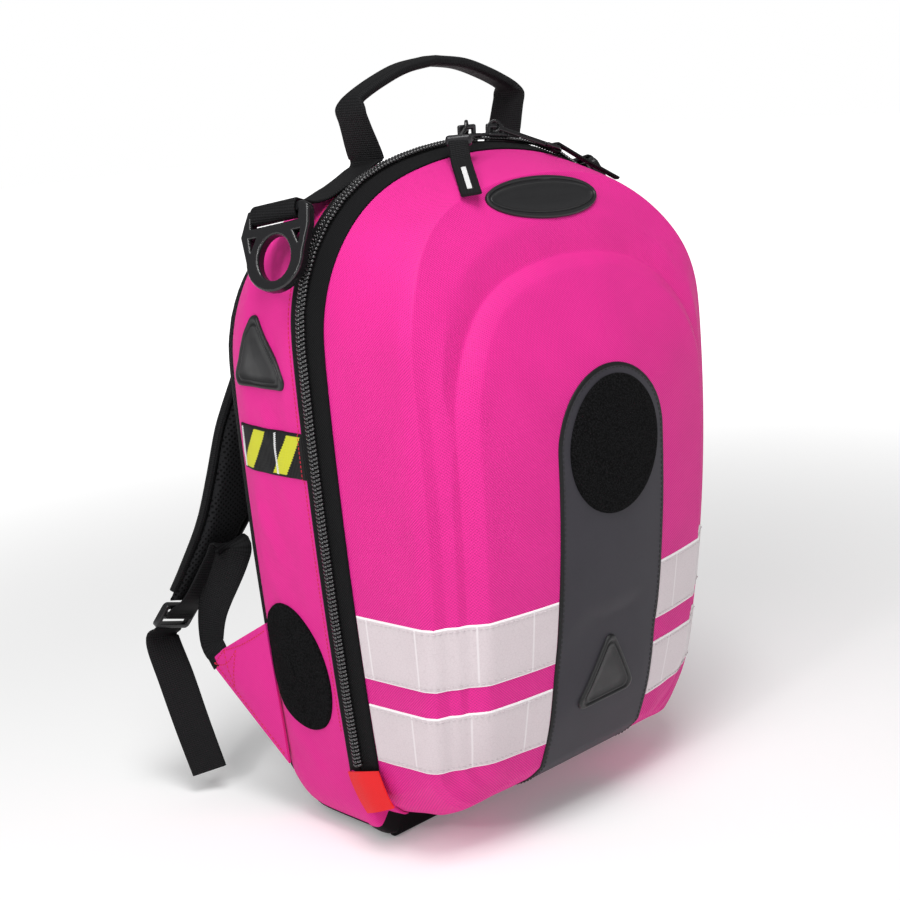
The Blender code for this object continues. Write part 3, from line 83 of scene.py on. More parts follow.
# %% [markdown]
# ## Shader sums
# A finish is a small network of nodes. Placing and joining each Math node by hand makes long code that
# hides the sum. So one small class stands for a node's output, and a sum of outputs and numbers,
# written as a Python sum, adds its own Math nodes.

# %% Wire
class Wire:
    """One output of a node. Sums of wires and numbers become Math nodes."""

    def __init__(self, network, socket):
        self.network = network
        self.socket = socket

    def sum_of(self, operation, first, second=0.0):
        return self.network.add("ShaderNodeMath", {"operation": operation}, {0: first, 1: second})

    def __add__(self, other):
        return self.sum_of("ADD", self, other)

    def __sub__(self, other):
        return self.sum_of("SUBTRACT", self, other)

    def __rsub__(self, other):
        return self.sum_of("SUBTRACT", other, self)

    def __mul__(self, other):
        return self.sum_of("MULTIPLY", self, other)

    def __truediv__(self, other):
        return self.sum_of("DIVIDE", self, other)

    def __pow__(self, other):
        return self.sum_of("POWER", self, other)

    def __abs__(self):
        return self.sum_of("ABSOLUTE", self)

    __radd__ = __add__
    __rmul__ = __mul__

    def sine(self):
        return self.sum_of("SINE", self)

    def rest(self):
        return self.sum_of("FRACT", self)

    def over(self, low):
        return self.sum_of("MAXIMUM", self, low)

    def step(self, low, high):
        """0 below low, 1 above high and a smooth rise between them."""
        values = {0: self, 1: low, 2: high, 3: 0.0, 4: 1.0}
        return self.network.add("ShaderNodeMapRange", {"interpolation_type": "SMOOTHSTEP"}, values)


print("sums of wires ready")

# %% [markdown]
# ## Networks
# Every other node is made by one method. It takes the node's type, its settings and the values or wires
# of its sockets, so a line of code reads like a line of a recipe. The sky is made with it too.

# %% Network
class Network:
    """A tree of nodes."""

    def __init__(self, tree):
        self.tree = tree

    def join(self, socket, value):
        if isinstance(value, Wire):
            self.tree.links.new(value.socket, socket)
        else:
            socket.default_value = value

    def add(self, kind, settings=None, sockets=None, output=0):
        """Make a node, set it up, join its sockets and hand back one of its outputs."""
        node = self.tree.nodes.new(kind)
        for key, value in (settings or {}).items():
            setattr(node, key, value)
        for key, value in (sockets or {}).items():
            self.join(node.inputs[key], value)
        return Wire(self, node.outputs[output])


print("nodes can be added")

# %% [markdown]
# ## Finishes
# Each material of the bag is one Principled shader with a few textures in front of it. The textures are
# read at the bag's own places in metres, so a weave keeps its scale from piece to piece and needs no
# map. Only straps and bands carry a map, because their ribs and borders have to follow every bend.

# %% Finish
WEAVE_FADE = 4.0


class Finish(Network):
    """A material with one Principled shader."""

    def __init__(self, name, colour, roughness, **sockets):
        self.material = bpy.data.materials.new(name)
        self.material.use_nodes = True
        super().__init__(self.material.node_tree)
        self.shader = self.tree.nodes["Principled BSDF"]
        self.colour = (*colour, 1.0)
        self.set("Base Color", self.colour)
        self.set("Roughness", roughness)
        for socket, value in sockets.items():
            self.set(socket.replace("_", " ").title().replace("Ior", "IOR"), value)

    def set(self, socket, value):
        self.join(self.shader.inputs[socket], value)

    def coordinates(self, kind):
        return self.add("ShaderNodeTexCoord", output=kind)

    def split(self, vector):
        return [self.add("ShaderNodeSeparateXYZ", {}, {0: vector}, output=i) for i in range(3)]

    def places(self):
        """Distances along the bag's own axes, in metres."""
        return self.split(self.coordinates("Object"))

    def facing(self):
        """How much the surface faces along each axis, from 0 to 1."""
        return [abs(part) for part in self.split(self.coordinates("Normal"))]

    def flat_places(self):
        """Distances across and along a strap, in metres, kept in its UV map."""
        return self.split(self.coordinates("UV"))[:2]

    def cloud(self, size):
        """Soft random values from 0 to 1 that change over a size in metres."""
        sockets = {"Vector": self.coordinates("Object"), "Scale": 1 / size, "Detail": 2.0}
        return self.add("ShaderNodeTexNoise", {}, sockets)

    def cells(self, size, feature="F1"):
        """Distances from scattered points, or from the borders between them, in parts of a size."""
        sockets = {"Vector": self.coordinates("Object"), "Scale": 1 / size}
        return self.add("ShaderNodeTexVoronoi", {"feature": feature}, sockets)

    def mix(self, share, first, second):
        return self.add("ShaderNodeMix", {"data_type": "RGBA"}, {0: share, 6: first, 7: second}, output=2)

    def shades(self, share, dark, light):
        """Colour the surface between two multiples of its own colour."""
        ends = [tuple(min(c * k, 1.0) for c in self.colour[:3]) + (1.0,) for k in (dark, light)]
        self.set("Base Color", self.mix(share, *ends))

    def bump(self, height, depth):
        """Relief from a height between 0 and 1 that stands for a depth in metres."""
        sockets = {"Strength": 1.0, "Distance": depth, "Height": height}
        self.set("Normal", self.add("ShaderNodeBump", {}, sockets))

    def on_three_sides(self, pattern):
        """Lay a flat pattern on a curved piece from its side, front and top, faded into one another."""
        x, y, z = self.places()
        shares = [part ** WEAVE_FADE for part in self.facing()]
        total = shares[0] + shares[1] + shares[2]
        sheets = [pattern(y, z), pattern(x, z), pattern(x, y)]
        return (sheets[0] * shares[0] + sheets[1] * shares[1] + sheets[2] * shares[2]) / total


print("finishes can be mixed")

# %% [markdown]
# ## Woven finishes
# Cloth shows its threads only as a fine relief and a slight change of tone. Two crossing sine waves
# make a plain weave, and a slanted pair makes a twill. The tone follows the same height, so threads
# catch light. A picture of cloth would do it too, but it would blur in close views.

# %% Weaves
PINK = (0.80, 0.021, 0.295)
BLACK = (0.007, 0.007, 0.0075)
FADED_SHARE = 0.25
FADED_PATCH = 0.045


def plain_weave(pitch):
    """Threads that go over and under one by one."""
    return lambda u, v: (u * (2 * pi / pitch)).sine() * (v * (2 * pi / pitch)).sine() * 0.5 + 0.5


def twill(pitch):
    """Threads that step sideways from row to row, so that the cloth has slanted lines."""
    def pattern(u, v):
        slant = ((u + v) * (2 * pi / pitch)).sine()
        thread = ((u - v * 0.35) * (2 * pi / (pitch * 0.6))).sine()
        return slant * 0.32 + thread * 0.18 + 0.5
    return pattern


def woven(name, colour, roughness, pattern, depth, shine=0.2, dark=0.82, light=1.12):
    """Cloth whose tone and relief follow its threads, with faded patches a few centimetres wide."""
    finish = Finish(
        name, colour, roughness, specular_ior_level=shine, sheen_weight=0.02, sheen_roughness=0.45)
    threads = finish.on_three_sides(pattern)
    faded = finish.cloud(FADED_PATCH)
    finish.shades(threads * (1 - FADED_SHARE) + faded * FADED_SHARE, dark, light)
    finish.bump(threads, depth)
    return finish


pink_shell = woven(
    "pink_laminated_twill", PINK, 0.62, twill(0.0021), 0.00030, shine=0.25, dark=0.56, light=1.24)
pink_fabric = woven(
    "pink_woven_nylon", PINK, 0.70, plain_weave(0.0016), 0.00024, shine=0.25, dark=0.72, light=1.14)
black_fabric = woven(
    "black_woven_nylon", BLACK, 0.75, plain_weave(0.0015), 0.0002, shine=0.09, dark=0.6, light=1.4)
lining = woven(
    "dark_lining", (0.024, 0.024, 0.028), 0.7, plain_weave(0.0018), 0.00015, dark=0.75, light=1.3)
tape_cloth = woven(
    "zip_tape_twill", BLACK, 0.75, twill(0.0019), 0.0004, shine=0.08, dark=0.35, light=1.7)
red_fabric = woven("red_woven_tab", (0.86, 0.018, 0.022), 0.65, plain_weave(0.0012), 0.0002)
white_tape = woven("white_woven_tape", (0.74, 0.74, 0.74), 0.65, plain_weave(0.0008), 0.0002)
print("woven finishes ready, pink is", PINK)

# %% [markdown]
# ## Moulded finishes and thread
# Plastic is nearly one colour, so its life is in a slightly uneven gloss and a fine grain. Rubber is
# duller, and thread is so thin that a grain is all it shows. One function mixes them all.

# %% Moulded finishes
GLOSS_PATCH = 0.012


def moulded(name, colour, roughness, grain=0.0012, depth=0.00003, spread=0.12, **sockets):
    """A plain colour with uneven gloss and a fine grain."""
    finish = Finish(name, colour, roughness, **sockets)
    finish.set("Roughness", finish.cloud(GLOSS_PATCH) * (2 * spread) + (roughness - spread))
    finish.bump(finish.cloud(grain), depth)
    return finish


def thread(name, colour):
    return moulded(name, colour, 0.6, grain=0.0006, depth=0.0001)


black_plastic = moulded("black_moulded_plastic", (0.010, 0.010, 0.011), 0.22, spread=0.06)
coil_plastic = moulded("zip_coil_plastic", (0.013, 0.013, 0.014), 0.16, spread=0.04, coat_weight=0.8)
slider_enamel = moulded("black_slider_enamel", (0.020, 0.020, 0.022), 0.28, metallic=0.3)
rubber = moulded("badge_rubber", (0.012, 0.012, 0.013), 0.46, specular_ior_level=0.4)
board = moulded("stiffener_board", (0.11, 0.11, 0.11), 0.6, grain=0.003)
thread_red = thread("red_thread", (0.62, 0.006, 0.035))
thread_grey = thread("grey_thread", (0.58, 0.52, 0.54))
thread_black = thread("black_thread", (0.012, 0.012, 0.013))
thread_white = thread("white_thread", (0.72, 0.72, 0.72))
print("moulded finishes and four threads ready")

# %% [markdown]
# ## Loop pile and spacer mesh
# The round patches are loop pile, a felt of tiny tangled loops: scattered cells give them. The back and
# the shoulder pads are faced with spacer mesh, a knitted net of regular round holes: a coarse plain
# weave, cut off at a height, gives those.

# %% Pile and mesh
LOOP = 0.0013
MESH_PITCH = 0.0048

loop_pile = Finish("black_loop_pile", (0.006, 0.006, 0.0065), 0.95, specular_ior_level=0.08)
loops = loop_pile.cells(LOOP)
# The loop tops are painted lighter and the gaps between the loops darker, a painted highlight and painted
# shade that follow the relief below.
loop_pile.shades(loops.step(0.0, 0.8), 2.0, 0.35)
loop_pile.bump(1.0 - loops.step(0.0, 0.9), 0.0007)

spacer_mesh = Finish("black_spacer_mesh", (0.011, 0.011, 0.012), 0.85, specular_ior_level=0.12)
net = 1.0 - spacer_mesh.on_three_sides(plain_weave(MESH_PITCH)).step(0.58, 0.86)
# The holes are painted dark, as painted shade inside them, and the raised knit between them is painted
# lighter, a painted highlight.
spacer_mesh.shades(net, 0.2, 1.3)
spacer_mesh.bump(net, 0.0008)
print("mesh holes repeat every", MESH_PITCH, "m")

# %% [markdown]
# ## Webbing
# Webbing is woven with round ribs across its width. Each strap below carries a map of distances across
# and along itself, so the ribs can follow it round any bend. The side band is the same webbing with
# slanted stripes, whose edges step from cord to cord.

# %% Webbing finishes
RIB = 0.0017
CORD = 0.0021
STRIPE_PITCH = 0.041
STRIPE_SLANT = 0.65
STRIPE_STEP = 0.0004
STRIPE_REACH = 0.0150


def ribbed(across, along):
    """Height of webbing: round ribs across the strap, broken by the cords that run along it."""
    ribs = abs((along * (pi / RIB)).sine())
    cords = (across * (2 * pi / CORD)).sine() * 0.5 + 0.5
    return ribs * 0.7 + cords * 0.3


black_webbing = Finish("black_ribbed_webbing", (0.006, 0.006, 0.0065), 0.62, specular_ior_level=0.12)
across, along = black_webbing.flat_places()
ribs = ribbed(across, along)
# The rib crests are painted lighter and the hollows between the ribs darker, a painted highlight and
# painted shade that follow the relief.
black_webbing.shades(ribs, 0.45, 1.9)
black_webbing.bump(ribs, 0.0005)

hi_vis = Finish("striped_hi_vis_webbing", (0.60, 0.60, 0.035), 0.62, specular_ior_level=0.2)
across, along = hi_vis.flat_places()
stepped = (across * (2 * pi / CORD)).sine() * STRIPE_STEP
stripe = ((along + across * STRIPE_SLANT + stepped) / STRIPE_PITCH).rest()
selvedge = abs(across).step(STRIPE_REACH, STRIPE_REACH + STRIPE_STEP)
yellow = stripe.step(0.28, 0.29) * (1.0 - stripe.step(0.66, 0.67)) * (1.0 - selvedge)
hi_vis.set("Base Color", hi_vis.mix(yellow, (*BLACK, 1.0), hi_vis.colour))
hi_vis.bump(ribbed(across, along), 0.0003)
print("webbing finishes ready, stripes every", STRIPE_PITCH, "m")

# %% [markdown]
# ## Making pieces
# Every piece ends in the same way: it becomes a smooth mesh, takes a finish, rides on a body of the
# imported model, and the plain solids that it stands for are hidden. One helper does this for all of
# them.

# %% Helpers for pieces
CORNER = 55.0


def settle(item, finishes, body, slot, *stands_for):
    """Give a piece its finishes and its body, and hide the nodes that it replaces. The slot is not used.
    """
    coats = finishes if isinstance(finishes, list) else [finishes]
    while len(item.data.materials) < len(coats):
        item.data.materials.append(None)
    for i, finish in enumerate(coats):
        item.data.materials[i] = finish.material
    item.data.shade_smooth()
    item.data.set_sharp_from_angle(angle=radians(CORNER))
    if body:
        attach(item, body)
    if stands_for:
        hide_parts(*stands_for)
    return item


def new_piece(name, points, faces, flat=None):
    """A mesh object from points and faces, with an optional flat map in metres for each point."""
    mesh = bpy.data.meshes.new(name)
    mesh.from_pydata([tuple(p) for p in points], [], faces)
    if flat:
        layer = mesh.uv_layers.new(name="flat")
        for loop in mesh.loops:
            layer.data[loop.index].uv = flat[loop.vertex_index]
    mesh.validate()
    item = bpy.data.objects.new(name, mesh)
    bpy.context.scene.collection.objects.link(item)
    return item


def keep_result(item, kind, **settings):
    """Run one modifier and keep what it makes as the piece's own mesh."""
    modifier = item.modifiers.new(kind.lower(), kind)
    for key, value in settings.items():
        setattr(modifier, key, value)
    graph = bpy.context.evaluated_depsgraph_get()
    made = bpy.data.meshes.new_from_object(item.evaluated_get(graph))
    old = item.data
    item.modifiers.clear()
    item.data = made
    bpy.data.meshes.remove(old)
    return item


def shift_points(item, shift):
    """Move each point of a piece by shift(place, normal), with the normals as they were at the start."""
    normals = [vertex.normal.copy() for vertex in item.data.vertices]
    for vertex, normal in zip(item.data.vertices, normals):
        vertex.co += shift(vertex.co, normal)


print("helpers ready, edges sharper than", CORNER, "degrees stay crisp")

# %% [markdown]
# ## Small sums and faces
# A few sums come back all through the lesson: a smooth rise from 0 to 1, a share between two values,
# and the faces that join rows or rings of points. Blender can bridge and fill by itself, but then the
# order of the faces isn't known, and some finishes below go by that order.

# %% Sums and faces
def smooth(t):
    """A smooth rise from 0 to 1 while t goes from 0 to 1."""
    t = min(max(t, 0.0), 1.0)
    return t * t * (3 - 2 * t)


def rise(value, ends):
    """A smooth rise from 0 at the first end to 1 at the second, which may be the lower one."""
    return smooth((value - ends[0]) / (ends[1] - ends[0]))


def mix(a, b, t):
    return a + (b - a) * t


def sheet_faces(rows, columns):
    """Faces between equal rows of points."""
    return [
        (r * columns + c, r * columns + c + 1, (r + 1) * columns + c + 1, (r + 1) * columns + c)
        for r in range(rows - 1) for c in range(columns - 1)
    ]


def ring_faces(rings, sides, start=0):
    """Faces between equal rings of points that follow one another in a list."""
    faces = []
    for r in range(rings - 1):
        for k in range(sides):
            a = start + r * sides + k
            b = start + r * sides + (k + 1) % sides
            faces.append((a, b, b + sides, a + sides))
    return faces


def bar_faces(rings, sides, start):
    """Faces between rings, with a face over each end."""
    last = start + (rings - 1) * sides
    ends = [tuple(range(start + sides - 1, start - 1, -1)), tuple(range(last, last + sides))]
    return ring_faces(rings, sides, start) + ends


print("a bar of 6 rings with 6 sides has", len(bar_faces(6, 6, 0)), "faces")

# %% [markdown]
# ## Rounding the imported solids
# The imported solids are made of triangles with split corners. Welding them and pairing triangles into
# quads gives a cage that a subdivision surface can round. Edges that are really sharp get a crease
# first, so that the lid's rim stays where it is while its front becomes smooth.

# %% Dressing
WELD = 0.00001
QUAD_BEND = 35.0
QUAD_SHAPE = 70.0
FIRM_CREASE = 0.85


def cage(node):
    """A node's mesh, welded and made of quads where it can be."""
    work = bmesh.new()
    work.from_mesh(NODES[node].data)
    bmesh.ops.remove_doubles(work, verts=work.verts, dist=WELD)
    bmesh.ops.join_triangles(
        work, faces=work.faces, angle_face_threshold=radians(QUAD_BEND),
        angle_shape_threshold=radians(QUAD_SHAPE))
    work.normal_update()
    return work


def piece_from(work, name):
    """A new piece from an edited mesh, which is then let go."""
    item = new_piece(name, [], [])
    work.to_mesh(item.data)
    work.free()
    return item


def dress(node, name, levels=2, sharp=50.0, outside_of=None, firm=180.0):
    """A rounded copy of a node. Faces that look away from a middle line get finish 0, others finish 1.

    Edges above the angle sharp stay sharp, and edges above the angle firm are rounded less.
    """
    work = cage(node)
    crease = work.edges.layers.float.new("crease_edge")
    for edge in work.edges:
        bend = edge.calc_face_angle() if edge.is_manifold else 0.0
        if bend > radians(sharp):
            edge[crease] = 1.0
        elif bend > radians(firm):
            edge[crease] = FIRM_CREASE
    if outside_of:
        for face in work.faces:
            at = face.calc_center_median()
            face.material_index = 0 if face.normal.dot(at - outside_of(at)) > 0 else 1
    item = piece_from(work, name)
    for _ in range(2 if outside_of else 1):
        item.data.materials.append(None)
    return keep_result(item, "SUBSURF", levels=levels, render_levels=levels)


print("solids can be dressed")

# %% [markdown]
# ## Casting and bevelling
# Hard fittings aren't rounded all over, only along their edges. A bevel does that where the edges are
# clean. Where bars run into each other a bevel breaks up, so those pieces are filled with small voxels
# and smoothed, much as molten plastic rounds the corners of its mould.

# %% Casting
FLAT_BEND = 2.0


def bevelled(node, name, width, sharp=30.0):
    """A copy of a hard piece with its sharp edges rounded over."""
    work = cage(node)
    bmesh.ops.dissolve_limit(work, angle_limit=radians(FLAT_BEND), verts=work.verts, edges=work.edges)
    return keep_result(
        piece_from(work, name), "BEVEL", width=width, segments=3, limit_method="ANGLE",
        angle_limit=radians(sharp), harden_normals=False, use_clamp_overlap=True)


def cast(node, name, voxel, rounds, fuller=0.0):
    """A copy of a piece with its corners melted over, as in casting, and its bars made fuller."""
    item = piece_from(cage(node), name)
    keep_result(item, "REMESH", mode="VOXEL", voxel_size=voxel)
    keep_result(item, "DISPLACE", strength=fuller, mid_level=0.0)
    return keep_result(item, "SMOOTH", factor=0.5, iterations=rounds)


print("fittings can be cast")

# %% [markdown]
# ## Skins
# Trim has to lie on the cloth, so it needs to know where the cloth is. Blender's Shrinkwrap modifier
# could press trim on to a piece, but it pulls neat edges out of line. A skin answers one question
# instead: where does a ray meet the cloth, and which way is out there?

# %% Skin
class Skin:
    """The outer faces of a dressed piece, ready for trim to be laid on them."""

    def __init__(self, item):
        self.places = [v.co.copy() for v in item.data.vertices]
        self.normals = [v.normal.copy() for v in item.data.vertices]
        self.faces = [tuple(p.vertices) for p in item.data.polygons if p.material_index == 0]
        self.tree = BVHTree.FromPolygons(self.places, self.faces)

    def hit(self, start, way):
        """Where a ray meets the skin, and the smooth direction out of it."""
        place, _, face, _ = self.tree.ray_cast(start, way)
        if place is None:
            return None
        corners = self.faces[face]
        shares = poly_3d_calc([self.places[i] for i in corners], place)
        normal = sum((self.normals[i] * share for i, share in zip(corners, shares)), Vector())
        return place, normal.normalized()


def node_tree(node):
    """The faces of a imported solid, for rays that look for its edges."""
    mesh = NODES[node].data
    return BVHTree.FromPolygons([v.co for v in mesh.vertices], [tuple(p.vertices) for p in mesh.polygons])


print("skins ready")

# %% [markdown]
# ## Paths
# Webbing hangs in smooth bends, so its path is a curve through a few points. A Blender curve object would
# draw one too, but its points aren't easy to get at, and the seams and sheets below need them. The left
# side is always a mirror of the right.

# %% Paths
def curve_through(points, steps):
    """Points of a smooth curve through a few given ones."""
    ends = [points[0] * 2 - points[1]] + points + [points[-1] * 2 - points[-2]]
    made = []
    for i in range(1, len(ends) - 2):
        before, start, end, after = ends[i - 1:i + 3]
        for k in range(steps):
            t = k / steps
            bend = (2 * before - 5 * start + 4 * end - after) * t * t
            turn = (3 * start - before - 3 * end + after) * t ** 3
            made.append(0.5 * (2 * start + (end - before) * t + bend + turn))
    return made + [points[-1].copy()]


def spread_ways(ways, count):
    """A few directions shared out evenly over a path."""
    made = []
    for i in range(count):
        at = i / (count - 1) * (len(ways) - 1)
        k = min(int(at), len(ways) - 2)
        made.append(Vector(ways[k]).lerp(Vector(ways[k + 1]), at - k))
    return made


def mirrored(points, side):
    """Points of the right side, moved to the side asked for."""
    return [Vector((side * x, y, z)) for x, y, z in points]


print("paths ready")

# %% [markdown]
# ## Straps
# Webbing keeps its width and thickness wherever it goes, so a strap is a rounded section swept along a
# path. A curve with a bevel could do this, but it has no say over which way the strap faces. Here each
# point of the path has its own direction across, and the map keeps true distances for the ribs.

# %% Straps
SECTION_COLUMNS = 5


def strap_section(width, thick):
    """A flat top and foot with half-round edges, as (across, up)."""
    half, roll = width / 2 - thick / 2, thick / 2
    top = [(mix(-half, half, i / SECTION_COLUMNS), roll) for i in range(SECTION_COLUMNS + 1)]
    edge = [(half + roll * sin(a), roll * cos(a)) for a in (pi / 4, pi / 2, 3 * pi / 4)]
    return top + edge + [(-a, -b) for a, b in top + edge]


def strap(name, path, ways, widths, thicks):
    """Webbing along a path. A list of widths or thicknesses may change from point to point."""
    last = len(path) - 1
    widths = widths if isinstance(widths, list) else [widths] * len(path)
    thicks = thicks if isinstance(thicks, list) else [thicks] * len(path)
    points, flat = [], []
    run = 0.0
    for i, place in enumerate(path):
        run += (place - path[max(i - 1, 0)]).length
        along = (path[min(i + 1, last)] - path[max(i - 1, 0)]).normalized()
        wide = (ways[i] - along * ways[i].dot(along)).normalized()
        up = along.cross(wide)
        for a, b in strap_section(widths[i], thicks[i]):
            points.append(place + wide * a + up * b)
            flat.append((a, run))
    count = len(points) // len(path)
    faces = [tuple(range(count)), tuple(range(len(points) - 1, len(points) - 1 - count, -1))]
    for i in range(last):
        for k in range(count):
            j = (k + 1) % count
            faces.append((i * count + k, (i + 1) * count + k, (i + 1) * count + j, i * count + j))
    return new_piece(name, points, faces, flat)


print("a strap's section has", len(strap_section(0.03, 0.002)), "points")

# %% [markdown]
# ## The lid
# The lid is fabric laminated over a moulded foam shell, so it is smooth and firm. Only below the bands,
# where the cloth is pulled round the lower corners, does it go into soft folds. They are moved points
# rather than relief, because they catch light across several centimetres.

# %% Lid shell
ZIP_Y = -0.041
MIDDLE_LOW, MIDDLE_HIGH = 0.14, 0.38
LID_FOLD = 0.0030
FOLD_HEIGHTS = (0.100, 0.060)
FOLD_SIDES = (0.062, 0.082)
FOLD_DEPTHS = (-0.066, -0.086)


def middle_line(at, depth):
    """The nearest place on an upright line inside the bag."""
    return Vector((0, depth, min(max(at.z, MIDDLE_LOW), MIDDLE_HIGH)))


def lid_middle(at):
    return middle_line(at, ZIP_Y)


def outward(normal, from_middle):
    """The side of a wall's normal that looks out, so that both faces of the wall move together."""
    return normal if normal.dot(from_middle) > 0 else -normal


def slack(at, normal):
    """A soft fold in the lid's cloth below the bands, near its lower corners."""
    hold = rise(at.z, FOLD_HEIGHTS) * rise(abs(at.x), FOLD_SIDES) * rise(at.y, FOLD_DEPTHS)
    fold = noise.noise(Vector((at.x * 34, at.y * 34 + at.z * 10, at.z * 12 + 7)))
    return outward(normal, at - lid_middle(at)) * hold * LID_FOLD * fold


lid_cloth = dress("lid_shell", "lid_cloth", levels=3, outside_of=lid_middle, firm=15)
shift_points(lid_cloth, slack)
settle(lid_cloth, [pink_shell, lining], "lid", "pink_shell", "lid_shell")
lid_skin = Skin(lid_cloth)
print("lid:", len(lid_cloth.data.polygons), "faces")

# %% [markdown]
# ## The tub
# The tub's wall is plain woven nylon with foam behind it, so it gives: soft puckers run down from the
# shoulder and around the trim. A cloth solver could make them, but it would also move the seams that
# the zip and the back are sewn to. Two scales of noise that die away at those seams look the same and
# stay put.

# %% Tub wall
TUB_MIDDLE_Y = 0.012
PUCKER = 0.0040
TUB_LOW, TUB_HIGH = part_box("gusset")
ZIP_SEAM = (TUB_LOW.y + 0.016, TUB_LOW.y + 0.036)
BACK_SEAM = (TUB_HIGH.y - 0.004, TUB_HIGH.y - 0.024)
BASE_SEAM = (0.03, 0.06)
SHOULDER = (0.44, 0.48)
SHOULDER_CALM = 0.8


def tub_middle(at):
    return middle_line(at, TUB_MIDDLE_Y)


def pucker(at, normal):
    """A soft fold in the tub's wall that dies away at the zip, the back seam and the base."""
    hold = rise(at.y, ZIP_SEAM) * rise(at.y, BACK_SEAM) * rise(at.z, BASE_SEAM)
    hold *= 1 - SHOULDER_CALM * rise(at.z, SHOULDER)
    fold = noise.noise(Vector((at.x * 9, at.y * 26 + at.z * 7, at.z * 13)))
    ripple = noise.noise(Vector((at.x * 20 + 3, at.y * 55 - at.z * 25, at.z * 30)))
    return outward(normal, at - tub_middle(at)) * hold * PUCKER * (fold + 0.45 * ripple)


tub_cloth = dress("gusset", "tub_cloth", levels=3, outside_of=tub_middle)
shift_points(tub_cloth, pucker)
settle(tub_cloth, [pink_fabric, lining], "pack", "pink_fabric", "gusset")
tub_skin = Skin(tub_cloth)
print("tub:", len(tub_cloth.data.polygons), "faces")

# %% [markdown]
# ## Lines on a skin
# Bands, panels and patches are flat pieces sewn on to curved cloth. Cutting them out of the curved mesh
# would leave ragged edges, so rays are shot at the skin in neat lines instead. A line can be cut at an
# exact place and walked at an even pace, which is how stitches are spaced.

# %% Lines
def fan(skin, centre, first_way, second_way, start, end, count=220):
    """Hits all round from a point inside the bag, between two angles in degrees."""
    line = []
    for i in range(count + 1):
        angle = radians(start + (end - start) * i / count)
        found = skin.hit(centre, first_way * cos(angle) + second_way * sin(angle))
        if found:
            line.append(found)
    return line


def trimmed(line, inside):
    """The part of a line where inside(place) is above zero, cut exactly where it changes sign."""
    kept = []
    for (first, first_out), (second, second_out) in zip(line, line[1:]):
        a, b = inside(first), inside(second)
        if a >= 0:
            kept.append((first, first_out))
        if (a < 0) != (b < 0):
            share = a / (a - b)
            kept.append((first.lerp(second, share), first_out.lerp(second_out, share).normalized()))
    if inside(line[-1][0]) >= 0:
        kept.append(line[-1])
    return kept


def measured(line):
    """A line's distances from its start."""
    at = [0.0]
    for (first, _), (second, _) in zip(line, line[1:]):
        at.append(at[-1] + (second - first).length)
    return at


def along_line(line, wanted):
    """Places and normals at wanted distances along a line."""
    at = measured(line)
    found = []
    k = 0
    for distance in wanted:
        distance = min(max(distance, 0.0), at[-1])
        while k < len(at) - 2 and at[k + 1] < distance:
            k += 1
        share = (distance - at[k]) / max(at[k + 1] - at[k], 1e-9)
        place = line[k][0].lerp(line[k + 1][0], share)
        normal = line[k][1].lerp(line[k + 1][1], share).normalized()
        found.append((place, normal))
    return found


print("lines ready")

# %% [markdown]
# ## Trim on a skin
# A grid of hits, lifted by the trim's thickness, makes the trim. Rows and columns crowd together at its
# edges, so that the edge can roll over from just under the cloth to the full thickness, as a sewn edge
# does.

# %% Trim
EDGES = (0.0, 0.00015, 0.0006, 0.0013)
EDGE_ROLL = 0.0011
EDGE_SINK = 0.0002


def spread(length, count, edges):
    """Distances that are close together at both ends, for a rounded edge, and even between them."""
    near = [e for e in edges if e < length / 2]
    inner = [near[-1] + (length - 2 * near[-1]) * i / count for i in range(count + 1)]
    return near[:-1] + inner + [length - e for e in reversed(near[:-1])]


def rounded_edge(distance, thickness):
    """Height of trim near its edge, where it rolls up from just under the cloth."""
    if distance >= EDGE_ROLL:
        return thickness
    share = sqrt(max(0.0, 1 - (1 - distance / EDGE_ROLL) ** 2))
    return mix(-EDGE_SINK, thickness, share)


def lay(name, grid, heights, flat=None):
    """A piece from a grid of hits, lifted by heights, with an optional flat map."""
    rows, columns = len(grid), len(grid[0])
    points = [p + n * h for row, lift in zip(grid, heights) for (p, n), h in zip(row, lift)]
    places = [uv for row in flat for uv in row] if flat else None
    item = new_piece(name, points, sheet_faces(rows, columns), places)
    middle = grid[rows // 2][columns // 2][1]
    item.data.update()
    face = item.data.polygons[(rows // 2 - 1) * (columns - 1) + columns // 2 - 1]
    if face.normal.dot(middle) < 0:
        item.data.flip_normals()
    return item


def lay_band(name, line_at, low, high, rows, columns, thickness, map_place):
    """A band between two heights, from the level line that line_at(height) finds on a skin."""
    tall = high - low
    length = measured(line_at((low + high) / 2))[-1]
    runs = spread(length, columns, EDGES)
    grid, lifts, flat = [], [], []
    for up in spread(tall, rows, EDGES):
        line = line_at(low + up)
        own = measured(line)[-1]
        grid.append(along_line(line, [run * own / length for run in runs]))
        lifts.append([rounded_edge(min(up, tall - up, run, length - run), thickness) for run in runs])
        flat.append([map_place(run, up) for run in runs])
    return lay(name, grid, lifts, flat)


print("trim rolls over in", EDGE_ROLL, "m")

# %% [markdown]
# ## Thread
# A stitch is a short piece of thread that dives into the cloth at both ends. Drawing stitches in a
# texture would blur in close views, so each is a tiny rounded body, and one seam is one mesh.

# %% Stitches
STITCH_RINGS = [(-0.5, 0.30), (-0.40, 0.8), (-0.15, 1.0), (0.15, 1.0), (0.40, 0.8), (0.5, 0.30)]
STITCH_SIDES = 6
STITCH_RISE = 0.55
STITCH_DIVE = 3.2


def circle(centre, first_way, second_way, radius, sides):
    """Points of a small ring about a centre."""
    turns = [2 * pi * k / sides for k in range(sides)]
    return [centre + (first_way * cos(turn) + second_way * sin(turn)) * radius for turn in turns]


